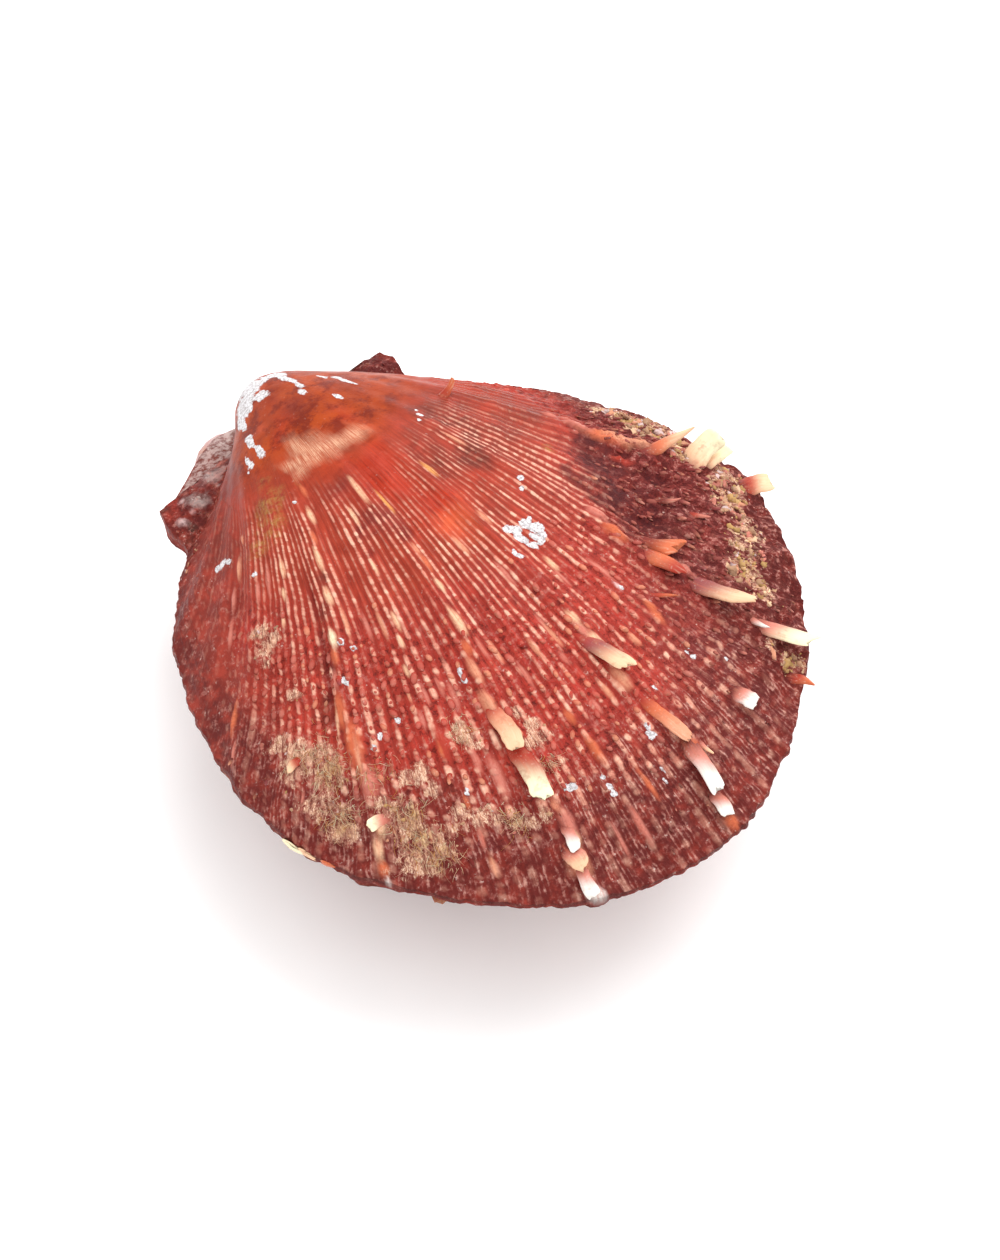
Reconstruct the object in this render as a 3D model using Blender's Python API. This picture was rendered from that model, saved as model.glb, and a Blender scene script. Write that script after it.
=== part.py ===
"""A closed spiny oyster shell lying on the flat scar of its lower valve. Metres, +Z up.

The hinge runs along X at the back, the free margin faces -Y, and the two valves meet in a level plane, the seam.
Each valve is laid down as the animal does it: every growth line is a smaller copy of today's margin, swung up or
down about a hinge line that has moved from the beak to where it is now. Ribs run from the beak to the margin.

In the code, across is the distance along the hinge from its middle, forward the distance in front of the hinge,
and rise the distance away from the seam, upwards in the upper valve and downwards in the lower one. Fan goes from
0 at the left ear's tip, along the margin, to 1 at the right ear's tip. Growth goes from 0 at the beak to 1 at the
margin. These distances are in millimetres.
"""

import math
from collections import namedtuple

import bmesh
import bpy
import numpy as np
from mathutils import Vector
from mathutils.bvhtree import BVHTree

MM = 0.001

# Where the middle of the hinge is in the shell's own frame.
HINGE_X = 2.36 * MM
HINGE_Y = 46.17 * MM
SEAM_Z = 25.4 * MM

# The seam's outline, from the left ear's tip round to the right ear's tip: (across, forward).
MARGIN = [
    (-24.5, 0), (-25.9, 4.2), (-26.4, 9), (-31.5, 13), (-38.5, 20.5), (-44.2, 29.2), (-48, 38.5),
    (-50.3, 48), (-51, 58), (-49.5, 67.3), (-45.4, 76.5), (-39.8, 85.1), (-33, 92.9), (-24, 99.2),
    (-12, 103.2), (0, 102.9), (12, 98.8), (21.5, 93), (30, 86), (37.5, 77), (43, 66.5), (45.5, 55),
    (44.5, 44.3), (40.8, 33.8), (34.7, 22.6), (27.6, 13.5), (22.6, 9), (21.5, 6.2), (22.4, 3), (22.3, 0),
]
HEIGHT = 102.0
BEAK_WIDTHS = (0.6, 0.25)
RIM = 1.0

# A valve: side is 1 above the seam and -1 below it, the profile is its middle rib from the beak to the margin as
# (forward, rise), tuck makes it a little smaller than the seam's outline, and deepest is where its scar cuts it.
Valve = namedtuple("Valve", "name side profile beak_across tuck deepest")
UPPER = Valve(
    "upper_valve",
    1,
    [
        (-1.2, 1.2), (-4.2, 3.6), (-4.6, 7.6), (-0.8, 11.8), (5.6, 15.2), (15.5, 18.6), (29, 20.4), (46, 19.4),
        (64, 15.6), (80, 10.4), (93, 5), (102, 0),
    ],
    0.0,
    1.0,
    math.inf,
)
LOWER = Valve(
    "lower_valve",
    -1,
    [
        (-9.5, 3.2), (-11.4, 5.8), (-10.2, 10), (-5, 15.2), (3, 20.2), (15, 24.8), (31, 28), (50, 28.2),
        (67, 24), (82, 16.6), (94, 8), (102, 0),
    ],
    -5.5,
    0.985,
    25.4,
)

# The strong ribs, as the fan's value where each meets the margin, and how much their fan narrows near the beak.
STRONG_RIBS = [0.0, 0.10, 0.203, 0.300, 0.417, 0.515, 0.624, 0.757, 0.88, 1.0]
FAN_MIDDLE = 0.45
FAN_NARROWING = 0.4
COLUMNS_PER_RIB = 8
GROWTH_LINES = 15
GROWTH_CROWDING = 1.3
STRONG_RIB_HEIGHT = 0.75
WEAK_RIB_HEIGHT = 0.38
EAR_THICKENING = 0.9

# The hollow inside each valve.
LIP = 4.6
HINGE_PLATE = 11.0
WALL = 3.6
HOLLOW_MIDDLE = (-3.0, 56.0)
HOLLOW_RINGS = [0.93, 0.78, 0.52, 0.26]
SEAM_GAP = 0.15

# The two ball teeth of the hinge, on the lower valve, and their sockets in the upper one.
TOOTH_ACROSS = 9.0
TOOTH_FORWARD = 5.6
TOOTH_RADIUS = 2.8
SOCKET_RADIUS = 3.3

# Spines of the upper valve: (fan, growth at the root, length, width, lift and swing in degrees).
UPPER_SPINES = [
    (0.203, 0.64, 5.0, 2.0, 8, 0),
    (0.203, 0.80, 5.5, 2.0, 9, 0),
    (0.250, 0.835, 3.8, 1.6, 14, -10),
    (0.285, 0.725, 8.5, 2.0, 8, 12),
    (0.295, 0.80, 7.5, 2.0, 9, 18),
    (0.316, 0.885, 3.5, 1.8, 16, -40),
    (0.307, 0.925, 5.0, 2.2, 10, 12),
    (0.360, 0.76, 6.0, 2.3, 9, 8),
    (0.393, 0.795, 8.0, 1.7, 8, 4),
    (0.415, 0.67, 5.2, 1.8, 10, -6),
    (0.413, 0.74, 9.0, 3.6, 16, -2),
    (0.416, 0.81, 9.0, 3.4, 22, -4),
    (0.422, 0.875, 6.0, 2.3, 16, -8),
    (0.420, 0.925, 4.5, 3.4, 12, -6),
    (0.423, 0.965, 3.8, 2.3, 10, -8),
    (0.463, 0.81, 5.5, 1.6, 10, -4),
    (0.518, 0.715, 8.8, 2.7, 18, -4),
    (0.513, 0.77, 4.8, 2.5, 12, 0),
    (0.515, 0.82, 9.0, 2.5, 14, 0),
    (0.517, 0.895, 8.5, 2.9, 18, -14),
    (0.510, 0.955, 4.0, 2.5, 12, -8),
    (0.568, 0.91, 3.8, 2.8, 25, 6),
    (0.623, 0.70, 8.0, 3.4, 28, 16),
    (0.630, 0.75, 6.8, 3.4, 18, -14),
    (0.625, 0.82, 8.5, 2.9, 26, 2),
    (0.620, 0.92, 8.0, 3.2, 24, 8),
    (0.608, 0.98, 2.8, 2.2, 20, 4),
    (0.698, 0.755, 3.0, 1.6, 30, 0),
    (0.695, 0.805, 3.2, 1.7, 30, -12),
    (0.765, 0.39, 3.2, 2.0, 52, -20),
    (0.765, 0.81, 5.5, 3.0, 35, 16),
    (0.756, 0.865, 7.2, 3.6, 38, -4),
    (0.753, 0.965, 4.5, 3.8, 28, -14),
]

# Spines of the lower valve, which point out under the margin, in the same order of values.
LOWER_SPINES = [
    (0.250, 0.955, 5.0, 4.2, 8, 0),
    (0.268, 0.965, 4.2, 3.6, 6, 0),
    (0.155, 0.90, 4.0, 2.0, 14, 0),
    (0.203, 0.80, 4.5, 2.2, 22, 0),
    (0.345, 0.88, 4.5, 2.4, 18, 0),
    (0.42, 0.86, 5.0, 2.4, 20, 0),
    (0.51, 0.88, 4.5, 2.4, 18, 0),
    (0.57, 0.84, 5.0, 2.2, 20, 0),
    (0.63, 0.90, 4.5, 2.4, 16, 0),
    (0.757, 0.84, 5.0, 2.4, 22, 0),
    (0.88, 0.86, 4.5, 2.0, 20, 0),
]
SPINE_SIDES = 6
SPINE_ROOT = 1.8
SPINE_FLATNESS = 0.42
SPINE_CURL = 0.35

# Stations along a spine, as shares of its length with its relative width and thickness there.
SPINE_STATIONS = [(0.3, 1.0, 1.1), (0.7, 0.95, 0.9), (1.0, 0.74, 0.6)]


def smooth_through(points, count=800):
    """Evenly spaced points on a smooth curve through the given ones."""
    ends = np.array(points, float)
    ends = np.vstack([2 * ends[0] - ends[1], ends, 2 * ends[-1] - ends[-2]])
    steps = np.linspace(0, 1, 40, endpoint=False)[:, None]
    pieces = []
    for a, b, c, d in zip(ends, ends[1:], ends[2:], ends[3:]):
        pieces.append(
            b
            + 0.5 * (c - a) * steps
            + 0.5 * (2 * a - 5 * b + 4 * c - d) * steps**2
            + 0.5 * (3 * b - 3 * c + d - a) * steps**3
        )
    curve = np.vstack(pieces + [ends[-2:-1]])
    run = np.concatenate([[0], np.cumsum(np.linalg.norm(np.diff(curve, axis=0), axis=1))])
    return along(curve, run / run[-1], np.linspace(0, 1, count))


def along(curve, shares, wanted):
    """The curve's points at the wanted shares of its length."""
    return np.column_stack([np.interp(wanted, shares, column) for column in curve.T])


def sample(curve, wanted):
    return along(curve, np.linspace(0, 1, len(curve)), wanted)


def bent_fan(fan, growth):
    """Ribs lie a little closer together near the beak than a straight fan would put them."""
    return FAN_MIDDLE + (fan - FAN_MIDDLE) * (1 - FAN_NARROWING * 4 * fan * (1 - fan) * (1 - growth))


def beak_width(across):
    """How much wider than a small copy of the margin the shell starts, on its left and on its right."""
    left, right = BEAK_WIDTHS
    return (left + right) / 2 - (left - right) / 2 * np.tanh(across / 15)


def smooth_outside(shape, fan, growth):
    """Points (across, forward, rise) of a valve's outside without relief, a row for each growth line."""
    margin, profile = smooth_through(MARGIN), smooth_through(shape.profile)
    beak = profile[0]
    rows = []
    for share in growth:
        tip = sample(profile, [share])[0]
        size = 0.0
        for _ in range(8):
            size = np.linalg.norm(tip - beak * (1 - size)) / HEIGHT
        hinge = beak * (1 - size)
        line = sample(margin, bent_fan(fan, share))
        widening = 1 + beak_width(line[:, 0]) * (1 - size) ** 4
        across = line[:, 0] * size * widening + shape.beak_across * (1 - size)
        swung = hinge + line[:, 1:] / HEIGHT * (tip - hinge)
        rows.append(np.column_stack([across * shape.tuck, swung[:, 0] * shape.tuck, swung[:, 1] + RIM]))
    return np.array(rows)


def fan_columns():
    """Fan values of the columns: the same number in each gap between two strong ribs."""
    steps = np.arange(COLUMNS_PER_RIB * (len(STRONG_RIBS) - 1) + 1) / COLUMNS_PER_RIB
    return np.interp(steps, np.arange(len(STRONG_RIBS)), STRONG_RIBS)


def rib_relief(fan, growth):
    """Height of the ribs: strong ones, and a weak one halfway between each two."""
    count = np.interp(fan, STRONG_RIBS, np.arange(len(STRONG_RIBS)))
    strong = np.maximum(0, np.cos(2 * math.pi * count)) ** 2
    weak = np.maximum(0, -np.cos(2 * math.pi * count)) ** 2
    from_tip = np.minimum(fan, 1 - fan)
    on_disc = np.clip(from_tip / 0.09, 0, 1) ** 2
    on_ears = np.clip(from_tip / 0.012, 0, 1) * np.clip((0.04 - from_tip) / 0.025, 0, 1)
    grown = np.clip((growth - 0.12) / 0.3, 0, 1)[:, None]
    eared = np.clip((growth - 0.5) / 0.3, 0, 1)[:, None]
    ribs = on_disc * (STRONG_RIB_HEIGHT * strong + WEAK_RIB_HEIGHT * weak)
    return grown * ribs + eared * EAR_THICKENING * on_ears


def lamella_relief(fan, growth):
    """Scaly steps of the lower valve, each growing outwards and then falling back."""
    wave = (growth * 7.5) % 1.0
    rise = 0.9 * wave[:, None] * np.clip((growth - 0.3) / 0.4, 0, 1)[:, None]
    return rise * np.sin(math.pi * fan) ** 0.5


def outward(rows):
    """Unit normals of the grid of points, away from the shell's inside."""
    normals = np.cross(np.gradient(rows, axis=1), np.gradient(rows, axis=0))
    return normals / np.maximum(np.linalg.norm(normals, axis=2, keepdims=True), 1e-9)


def in_frame(shape, point):
    """A point (across, forward, rise) of a valve, in the shell's frame and in metres."""
    across, forward, rise = point
    return Vector((HINGE_X + across * MM, HINGE_Y - forward * MM, SEAM_Z + shape.side * rise * MM))


def add_row(mesh, shape, points):
    return [mesh.verts.new(in_frame(shape, point)) for point in points]


def join_rows(mesh, first, second, closed=False):
    """A strip of faces between two rows of vertices."""
    count = len(first) if closed else len(first) - 1
    for i in range(count):
        j = (i + 1) % len(first)
        mesh.faces.new((first[i], first[j], second[j], second[i]))


def hollow_rows(mouth_row, outside):
    """Rings (across, forward, rise) of the hollow, from its mouth in the seam to the top of its roof."""
    height, width = outside.shape[:2]
    corners = [i * width + j for i in range(height - 1) for j in range(width - 1)]
    faces = [(k, k + 1, k + width + 1, k + width) for k in corners]
    tree = BVHTree.FromPolygons([Vector(p) for p in outside.reshape(-1, 3)], faces)
    middle = np.array(HOLLOW_MIDDLE)
    spokes = mouth_row[:, :2] - middle
    mouth = middle + spokes * (1 - LIP / np.linalg.norm(spokes, axis=1, keepdims=True))
    mouth[:, 1] = np.maximum(mouth[:, 1], HINGE_PLATE)
    rows = [np.column_stack([mouth, np.full(len(mouth), SEAM_GAP)])]
    for share in HOLLOW_RINGS + [0.0]:
        ring = middle + (mouth - middle) * share
        roof = []
        for a, f in ring:
            hit = tree.ray_cast(Vector((a, f, 100)), Vector((0, 0, -1)))[0]
            roof.append(max(SEAM_GAP + 0.4, (hit.z - WALL) * (1 - share**6)))
        rows.append(np.column_stack([ring, roof]))
    return rows


def new_object(name, mesh):
    """Turns a finished mesh into an object whose faces point outwards."""
    bmesh.ops.triangulate(mesh, faces=mesh.faces)
    bmesh.ops.recalc_face_normals(mesh, faces=mesh.faces)
    data = bpy.data.meshes.new(name)
    mesh.to_mesh(data)
    mesh.free()
    return bpy.data.objects.new(name, data)


def bare_valve(shape, relief):
    """A valve without spines: its outside, the hinge's triangular face, the rim, the seam face and the hollow."""
    fan = fan_columns()
    growth = np.linspace(0, 1, GROWTH_LINES + 1)[1:] ** GROWTH_CROWDING
    smooth = smooth_outside(shape, fan, growth)
    outside = smooth + outward(smooth) * relief(fan, growth)[..., None]
    outside[..., 2] = np.minimum(outside[..., 2], shape.deepest)
    smooth[..., 2] = np.minimum(smooth[..., 2], shape.deepest)

    mesh = bmesh.new()
    beak_forward, beak_rise = shape.profile[0]
    beak = (shape.beak_across * shape.tuck, beak_forward * shape.tuck, beak_rise + RIM)
    tip = add_row(mesh, shape, [beak])[0]
    grid = [add_row(mesh, shape, row) for row in outside]
    for i in range(len(fan) - 1):
        mesh.faces.new((tip, grid[0][i + 1], grid[0][i]))
    mesh.faces.new((tip, grid[0][0], grid[0][-1]))
    for inner, outer in zip(grid, grid[1:]):
        join_rows(mesh, inner, outer, closed=True)

    seam = outside[-1].copy()
    seam[:, 2] = SEAM_GAP
    hollow = hollow_rows(seam, smooth)
    loops = [grid[-1]] + [add_row(mesh, shape, row) for row in [seam] + hollow[:-1]]
    for outer, inner in zip(loops, loops[1:]):
        join_rows(mesh, outer, inner, closed=True)
    top = add_row(mesh, shape, hollow[-1][:1])[0]
    for i in range(len(fan)):
        mesh.faces.new((loops[-1][i], loops[-1][(i + 1) % len(fan)], top))

    valve = new_object(shape.name, mesh)
    bpy.context.scene.collection.objects.link(valve)
    return valve


def spine_place(shape, fan, growth, swing):
    """Where a spine stands: its root, the way it runs over the shell, and the way out of the shell."""
    fans = np.array([fan - 0.01, fan, fan + 0.01])
    growths = np.array([growth - 0.02, growth, growth + 0.02])
    rows = smooth_outside(shape, fans, growths)
    origin = in_frame(shape, (0, 0, 0))
    out = (in_frame(shape, outward(rows)[1, 1]) - origin).normalized()
    rib = (in_frame(shape, rows[2, 1]) - in_frame(shape, rows[0, 1])).normalized()
    swung = rib * math.cos(swing) + out.cross(rib) * math.sin(swing)
    return in_frame(shape, rows[1, 1]), swung, out


def add_spine(name, shape, fan, growth, length, width, lift, swing):
    """A flat blunt horn that leans up from the rib it grew on. It starts a little inside the shell."""
    root, run, out = spine_place(shape, fan, growth, math.radians(swing))
    across = run.cross(out).normalized()
    mesh = bmesh.new()
    rings = []
    for share, wide, thick in [(-SPINE_ROOT / length, 1.1, 1.3)] + SPINE_STATIONS:
        lean = math.radians(lift) * (1 + SPINE_CURL * (max(0, share) - 0.5))
        forwards = run * math.cos(lean) + out * math.sin(lean)
        upwards = out * math.cos(lean) - run * math.sin(lean)
        centre = root + MM * length * share * forwards
        ring = []
        for k in range(SPINE_SIDES):
            turn = 2 * math.pi * k / SPINE_SIDES
            sideways = across * (math.cos(turn) * wide * width / 2)
            ring.append(centre + MM * (sideways + upwards * (math.sin(turn) * thick * SPINE_FLATNESS * width / 2)))
        rings.append([mesh.verts.new(point) for point in ring])
    for first, second in zip(rings, rings[1:]):
        join_rows(mesh, first, second, closed=True)
    mesh.faces.new(rings[0])
    mesh.faces.new(rings[-1])
    return helper(new_object(name, mesh))


def add_ball(name, across, radius):
    """A ball in the seam, for a hinge tooth or its socket."""
    mesh = bmesh.new()
    bmesh.ops.create_uvsphere(mesh, u_segments=12, v_segments=8, radius=radius * MM)
    ball = new_object(name, mesh)
    ball.location = in_frame(UPPER, (across, TOOTH_FORWARD, 0))
    ball.rotation_euler = (0.2, 0.3, 0.1)
    return helper(ball)


def helper(obj):
    """Hides an object that only cuts or joins others."""
    obj.hide_render = True
    obj.display_type = "WIRE"
    return obj


def combine(valve, helpers, operation):
    """Joins the helpers to the valve, or cuts them out of it."""
    group = bpy.data.collections.new(f"{valve.name}_{operation.lower()}")
    bpy.context.scene.collection.children.link(group)
    for obj in helpers:
        group.objects.link(obj)
    modifier = valve.modifiers.new(operation.capitalize(), "BOOLEAN")
    modifier.operation = operation
    modifier.operand_type = "COLLECTION"
    modifier.collection = group
    modifier.solver = "EXACT"


def finish(valve, name, colour, roughness):
    """Shades the valve and gives it its material."""
    valve.data.shade_smooth()
    valve.data.set_sharp_from_angle(angle=math.radians(50))
    made = bpy.data.materials.new(name)
    made.use_nodes = True
    shader = made.node_tree.nodes["Principled BSDF"]
    shader.inputs["Base Color"].default_value = (*colour, 1)
    shader.inputs["Roughness"].default_value = roughness
    shader.inputs["Metallic"].default_value = 0.0
    valve.data.materials.append(made)


def upper_valve():
    valve = bare_valve(UPPER, rib_relief)
    spines = [add_spine(f"upper_spine_{i}", UPPER, *row) for i, row in enumerate(UPPER_SPINES)]
    combine(valve, spines, "UNION")
    sockets = [add_ball(f"socket_{i}", side * TOOTH_ACROSS, SOCKET_RADIUS) for i, side in enumerate((-1, 1))]
    combine(valve, sockets, "DIFFERENCE")
    finish(valve, "red_orange_shell", (0.42, 0.07, 0.045), 0.42)


def lower_valve():
    def relief(fan, growth):
        return rib_relief(fan, growth) + lamella_relief(fan, growth)

    valve = bare_valve(LOWER, relief)
    spines = [add_spine(f"lower_spine_{i}", LOWER, *row) for i, row in enumerate(LOWER_SPINES)]
    teeth = [add_ball(f"tooth_{i}", side * TOOTH_ACROSS, TOOTH_RADIUS) for i, side in enumerate((-1, 1))]
    combine(valve, spines + teeth, "UNION")
    finish(valve, "maroon_shell", (0.30, 0.09, 0.08), 0.55)


def main():
    for obj in list(bpy.data.objects):
        bpy.data.objects.remove(obj)
    upper_valve()
    lower_valve()


main()
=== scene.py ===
"""A closed spiny oyster shell lying on the flat scar of its lower valve, on a pale floor in soft light.

Each valve is laid down as the animal does it: every growth line is a smaller copy of today's margin, swung up or
down about a hinge line that has moved from the beak to where it is now. Ribs run from the beak to the margin.

Across is the distance along the hinge from its middle, forward the distance in front of the hinge, and rise the
distance away from the seam between the valves. Fan goes from 0 at the left ear's tip, along the margin, to 1 at
the right ear's tip. Growth goes from 0 at the beak to 1 at the margin. These distances are in millimetres.
"""

import itertools
import math
from collections import namedtuple

import bpy
import numpy as np
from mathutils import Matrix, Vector
from mathutils.bvhtree import BVHTree

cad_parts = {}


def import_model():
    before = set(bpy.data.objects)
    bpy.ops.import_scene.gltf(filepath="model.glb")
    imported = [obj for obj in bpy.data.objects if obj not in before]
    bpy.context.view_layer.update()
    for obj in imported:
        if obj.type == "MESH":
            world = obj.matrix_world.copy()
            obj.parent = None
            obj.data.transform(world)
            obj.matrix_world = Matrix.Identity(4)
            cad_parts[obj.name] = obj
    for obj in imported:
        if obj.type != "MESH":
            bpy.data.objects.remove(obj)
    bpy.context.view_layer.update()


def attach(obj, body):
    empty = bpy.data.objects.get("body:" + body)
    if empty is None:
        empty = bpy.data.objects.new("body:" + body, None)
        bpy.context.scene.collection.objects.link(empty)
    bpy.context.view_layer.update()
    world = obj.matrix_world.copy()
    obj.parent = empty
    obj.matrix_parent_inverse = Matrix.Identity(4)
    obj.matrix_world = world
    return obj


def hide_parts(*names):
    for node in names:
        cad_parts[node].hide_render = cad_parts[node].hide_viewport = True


MM = 0.001

# Where the middle of the hinge is in the shell's own frame.
HINGE = np.array([2.36, 46.17, 25.4])

# The seam's outline, from the left ear's tip round to the right ear's tip: (across, forward).
MARGIN = [
    (-24.5, 0), (-25.9, 4.2), (-26.4, 9), (-31.5, 13), (-38.5, 20.5), (-44.2, 29.2), (-48, 38.5),
    (-50.3, 48), (-51, 58), (-49.5, 67.3), (-45.4, 76.5), (-39.8, 85.1), (-33, 92.9), (-24, 99.2),
    (-12, 103.2), (0, 102.9), (12, 98.8), (21.5, 93), (30, 86), (37.5, 77), (43, 66.5), (45.5, 55),
    (44.5, 44.3), (40.8, 33.8), (34.7, 22.6), (27.6, 13.5), (22.6, 9), (21.5, 6.2), (22.4, 3), (22.3, 0),
]
HEIGHT = 102.0
BEAK_WIDTHS = (0.6, 0.25)
RIM = 1.0

# A valve: side is 1 above the seam and -1 below it, the profile is its middle rib from the beak to the margin as
# (forward, rise), tuck makes it a little smaller than the seam's outline, and deepest is where its scar cuts it.
Valve = namedtuple("Valve", "name side profile beak_across tuck deepest")
UPPER = Valve(
    "upper_valve",
    1,
    [
        (-1.2, 1.2), (-4.2, 3.6), (-4.6, 7.6), (-0.8, 11.8), (5.6, 15.2), (15.5, 18.6), (29, 20.4), (46, 19.4),
        (64, 15.6), (80, 10.4), (93, 5), (102, 0),
    ],
    0.0,
    1.0,
    math.inf,
)
LOWER = Valve(
    "lower_valve",
    -1,
    [
        (-9.5, 3.2), (-11.4, 5.8), (-10.2, 10), (-5, 15.2), (3, 20.2), (15, 24.8), (31, 28), (50, 28.2),
        (67, 24), (82, 16.6), (94, 8), (102, 0),
    ],
    -5.5,
    0.985,
    25.4,
)

# The strong ribs, as the fan's value where each meets the margin, and how much their fan narrows near the beak.
STRONG_RIBS = [0.0, 0.10, 0.203, 0.300, 0.417, 0.515, 0.624, 0.757, 0.88, 1.0]
FAN_MIDDLE = 0.45
FAN_NARROWING = 0.4
RIBLETS = 12
STRONG_RIB_HEIGHT = 0.75
WEAK_RIB_HEIGHT = 0.38
EAR_THICKENING = 0.9

# Beads along a riblet: how many there are from the beak to each growth, and how far each riblet's may be shifted.
BEAD_GROWTHS = [0, 0.62, 0.80, 1]
BEAD_COUNTS = [0, 26, 39, 56]
BEAD_SHIFT = 7

# Heights and depths of the upper valve's relief, in millimetres.
RIBLET_RISE, BEAD_RISE = 0.13, 0.30
KNOB_RISE, ROUGH_KNOB_RISE = 0.20, 0.70
ROUGH_LUMP_RISE, OUTER_LUMP_RISE, EAR_LUMP_RISE = 1.3, 0.35, 0.9
VALLEY_DEPTH, RIGHT_EAR_RISE = 1.2, 1.1
CRUST_RISE, CRUST_SWELL = 0.75, 0.6
SWELL, STAGE_RISE, CHIP_RISE, GROOVE_DEPTH = 0.35, 0.14, 0.05, 0.35

# The hollow inside each valve.
LIP = 4.6
HINGE_PLATE = 11.0
WALL = 3.6
HOLLOW_MIDDLE = np.array([-3.0, 56.0])
HOLLOW_RINGS = [0.93, 0.78, 0.52, 0.26]
SEAM_GAP = 0.15

# Chance values that dice picks from, and the factors that it mixes whole numbers with.
CHANCE = np.random.default_rng(11).random(4096)
DICE_FACTORS = (73856093, 19349663, 83492791)


# ---------------------------------------------------------------- the law of growth


def smooth_through(points, count=800):
    """Evenly spaced points on a smooth curve through the given ones."""
    ends = np.array(points, float)
    ends = np.vstack([2 * ends[0] - ends[1], ends, 2 * ends[-1] - ends[-2]])
    steps = np.linspace(0, 1, 40, endpoint=False)[:, None]
    pieces = []
    for a, b, c, d in zip(ends, ends[1:], ends[2:], ends[3:]):
        pieces.append(
            b
            + 0.5 * (c - a) * steps
            + 0.5 * (2 * a - 5 * b + 4 * c - d) * steps**2
            + 0.5 * (3 * b - 3 * c + d - a) * steps**3
        )
    curve = np.vstack(pieces + [ends[-2:-1]])
    run = np.concatenate([[0], np.cumsum(np.linalg.norm(np.diff(curve, axis=0), axis=1))])
    return along(curve, run / run[-1], np.linspace(0, 1, count))


def along(curve, shares, wanted):
    """The curve's points at the wanted shares of its length."""
    return np.column_stack([np.interp(wanted, shares, column) for column in curve.T])


def sample(curve, wanted):
    return along(curve, np.linspace(0, 1, len(curve)), wanted)


MARGIN_CURVE = smooth_through(MARGIN)
PROFILE_CURVES = {shape.name: smooth_through(shape.profile) for shape in (UPPER, LOWER)}


def bent_fan(fan, growth):
    """Ribs lie a little closer together near the beak than a straight fan would put them."""
    return FAN_MIDDLE + (fan - FAN_MIDDLE) * (1 - FAN_NARROWING * 4 * fan * (1 - fan) * (1 - growth))


def count_at(fan):
    """Counts the strong ribs up to a value of the fan."""
    return np.interp(fan, STRONG_RIBS, np.arange(len(STRONG_RIBS)))


def fan_at(count):
    return np.interp(count, np.arange(len(STRONG_RIBS)), STRONG_RIBS)


def beak_width(across):
    """How much wider than a small copy of the margin the shell starts, on its left and on its right."""
    left, right = BEAK_WIDTHS
    return (left + right) / 2 - (left - right) / 2 * np.tanh(across / 15)


def smooth_outside(shape, fan, growth):
    """Points (across, forward, rise) of a valve's outside without relief, a row for each growth line."""
    profile = PROFILE_CURVES[shape.name]
    beak = profile[0]
    rows = []
    for share in growth:
        tip = sample(profile, [share])[0]
        size = 0.0
        for _ in range(8):
            size = np.linalg.norm(tip - beak * (1 - size)) / HEIGHT
        hinge = beak * (1 - size)
        line = sample(MARGIN_CURVE, bent_fan(fan, share))
        widening = 1 + beak_width(line[:, 0]) * (1 - size) ** 4
        across = line[:, 0] * size * widening + shape.beak_across * (1 - size)
        swung = hinge + line[:, 1:] / HEIGHT * (tip - hinge)
        rows.append(np.column_stack([across * shape.tuck, swung[:, 0] * shape.tuck, swung[:, 1] + RIM]))
    return np.array(rows)


def outward(rows):
    """Unit normals of the grid of points, away from the shell's inside."""
    normals = np.cross(np.gradient(rows, axis=1), np.gradient(rows, axis=0))
    return normals / np.maximum(np.linalg.norm(normals, axis=2, keepdims=True), 1e-9)


def in_frame(shape, points):
    """Points (across, forward, rise) of a valve, in the shell's frame and in metres."""
    return (HINGE + points * np.array([1, -1, shape.side])) * MM


# ---------------------------------------------------------------- chance and masks


def ramp(value, low, high):
    """0 below low, 1 above high, and a smooth rise between."""
    share = np.clip((value - low) / (high - low), 0, 1)
    return share * share * (3 - 2 * share)


def window(value, low, start, end, high):
    return ramp(value, low, start) * (1 - ramp(value, end, high))


def dice(*whole):
    """A fixed chance value between 0 and 1 for each set of whole numbers."""
    mixed = 0
    for number, factor in zip(whole, DICE_FACTORS):
        mixed = mixed ^ (np.asarray(number).astype(np.int64) * factor)
    return CHANCE[(mixed ^ (mixed >> 9)) & (len(CHANCE) - 1)]


def cloud(points, size, seed=0, octaves=2):
    """Soft random variation between 0 and 1 over points in space, with patches of the given size."""
    total, weight = 0.0, 0.0
    for octave in range(octaves):
        place = points / size * 2**octave + 13.7 * (seed + 5 * octave)
        cell = np.floor(place)
        share = place - cell
        share = share * share * (3 - 2 * share)
        value = 0.0
        for corner in itertools.product((0, 1), repeat=points.shape[-1]):
            part = np.prod(np.where(corner, share, 1 - share), axis=-1)
            value = value + part * dice(*np.moveaxis(cell + corner, -1, 0))
        total = total + value * 0.5**octave
        weight += 0.5**octave
    return total / weight


def wandering(points, amount):
    """Makes the outline of a patch ragged when its distances are multiplied by this."""
    return 1 + amount * (cloud(points, 2.6, 15, 4) - 0.5)


def patches(shape, points, places, wander=1.0, soft=0.5):
    """A mask of soft patches, each (fan, growth, radius)."""
    mask = np.zeros(points.shape[:-1])
    for fan, growth, radius in places:
        middle = smooth_outside(shape, np.array([fan]), [growth])[0, 0]
        away = np.linalg.norm(points - middle, axis=-1) / radius * wander
        mask = np.maximum(mask, np.clip((1 - away) / soft + 0.5, 0, 1))
    return mask


def mixed(first, second, share):
    return first + (second - first) * np.asarray(share)[..., None]


def tinted(shape, points, colour, places, wander):
    """Lays soft patches of named tones over a colour, each (fan, growth, radius, tone, share)."""
    for fan, growth, radius, tone, share in places:
        mask = patches(shape, points, [(fan, growth, radius)], wander, 1.3)
        colour = mixed(colour, TONES[tone], share * mask)
    return colour


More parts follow.
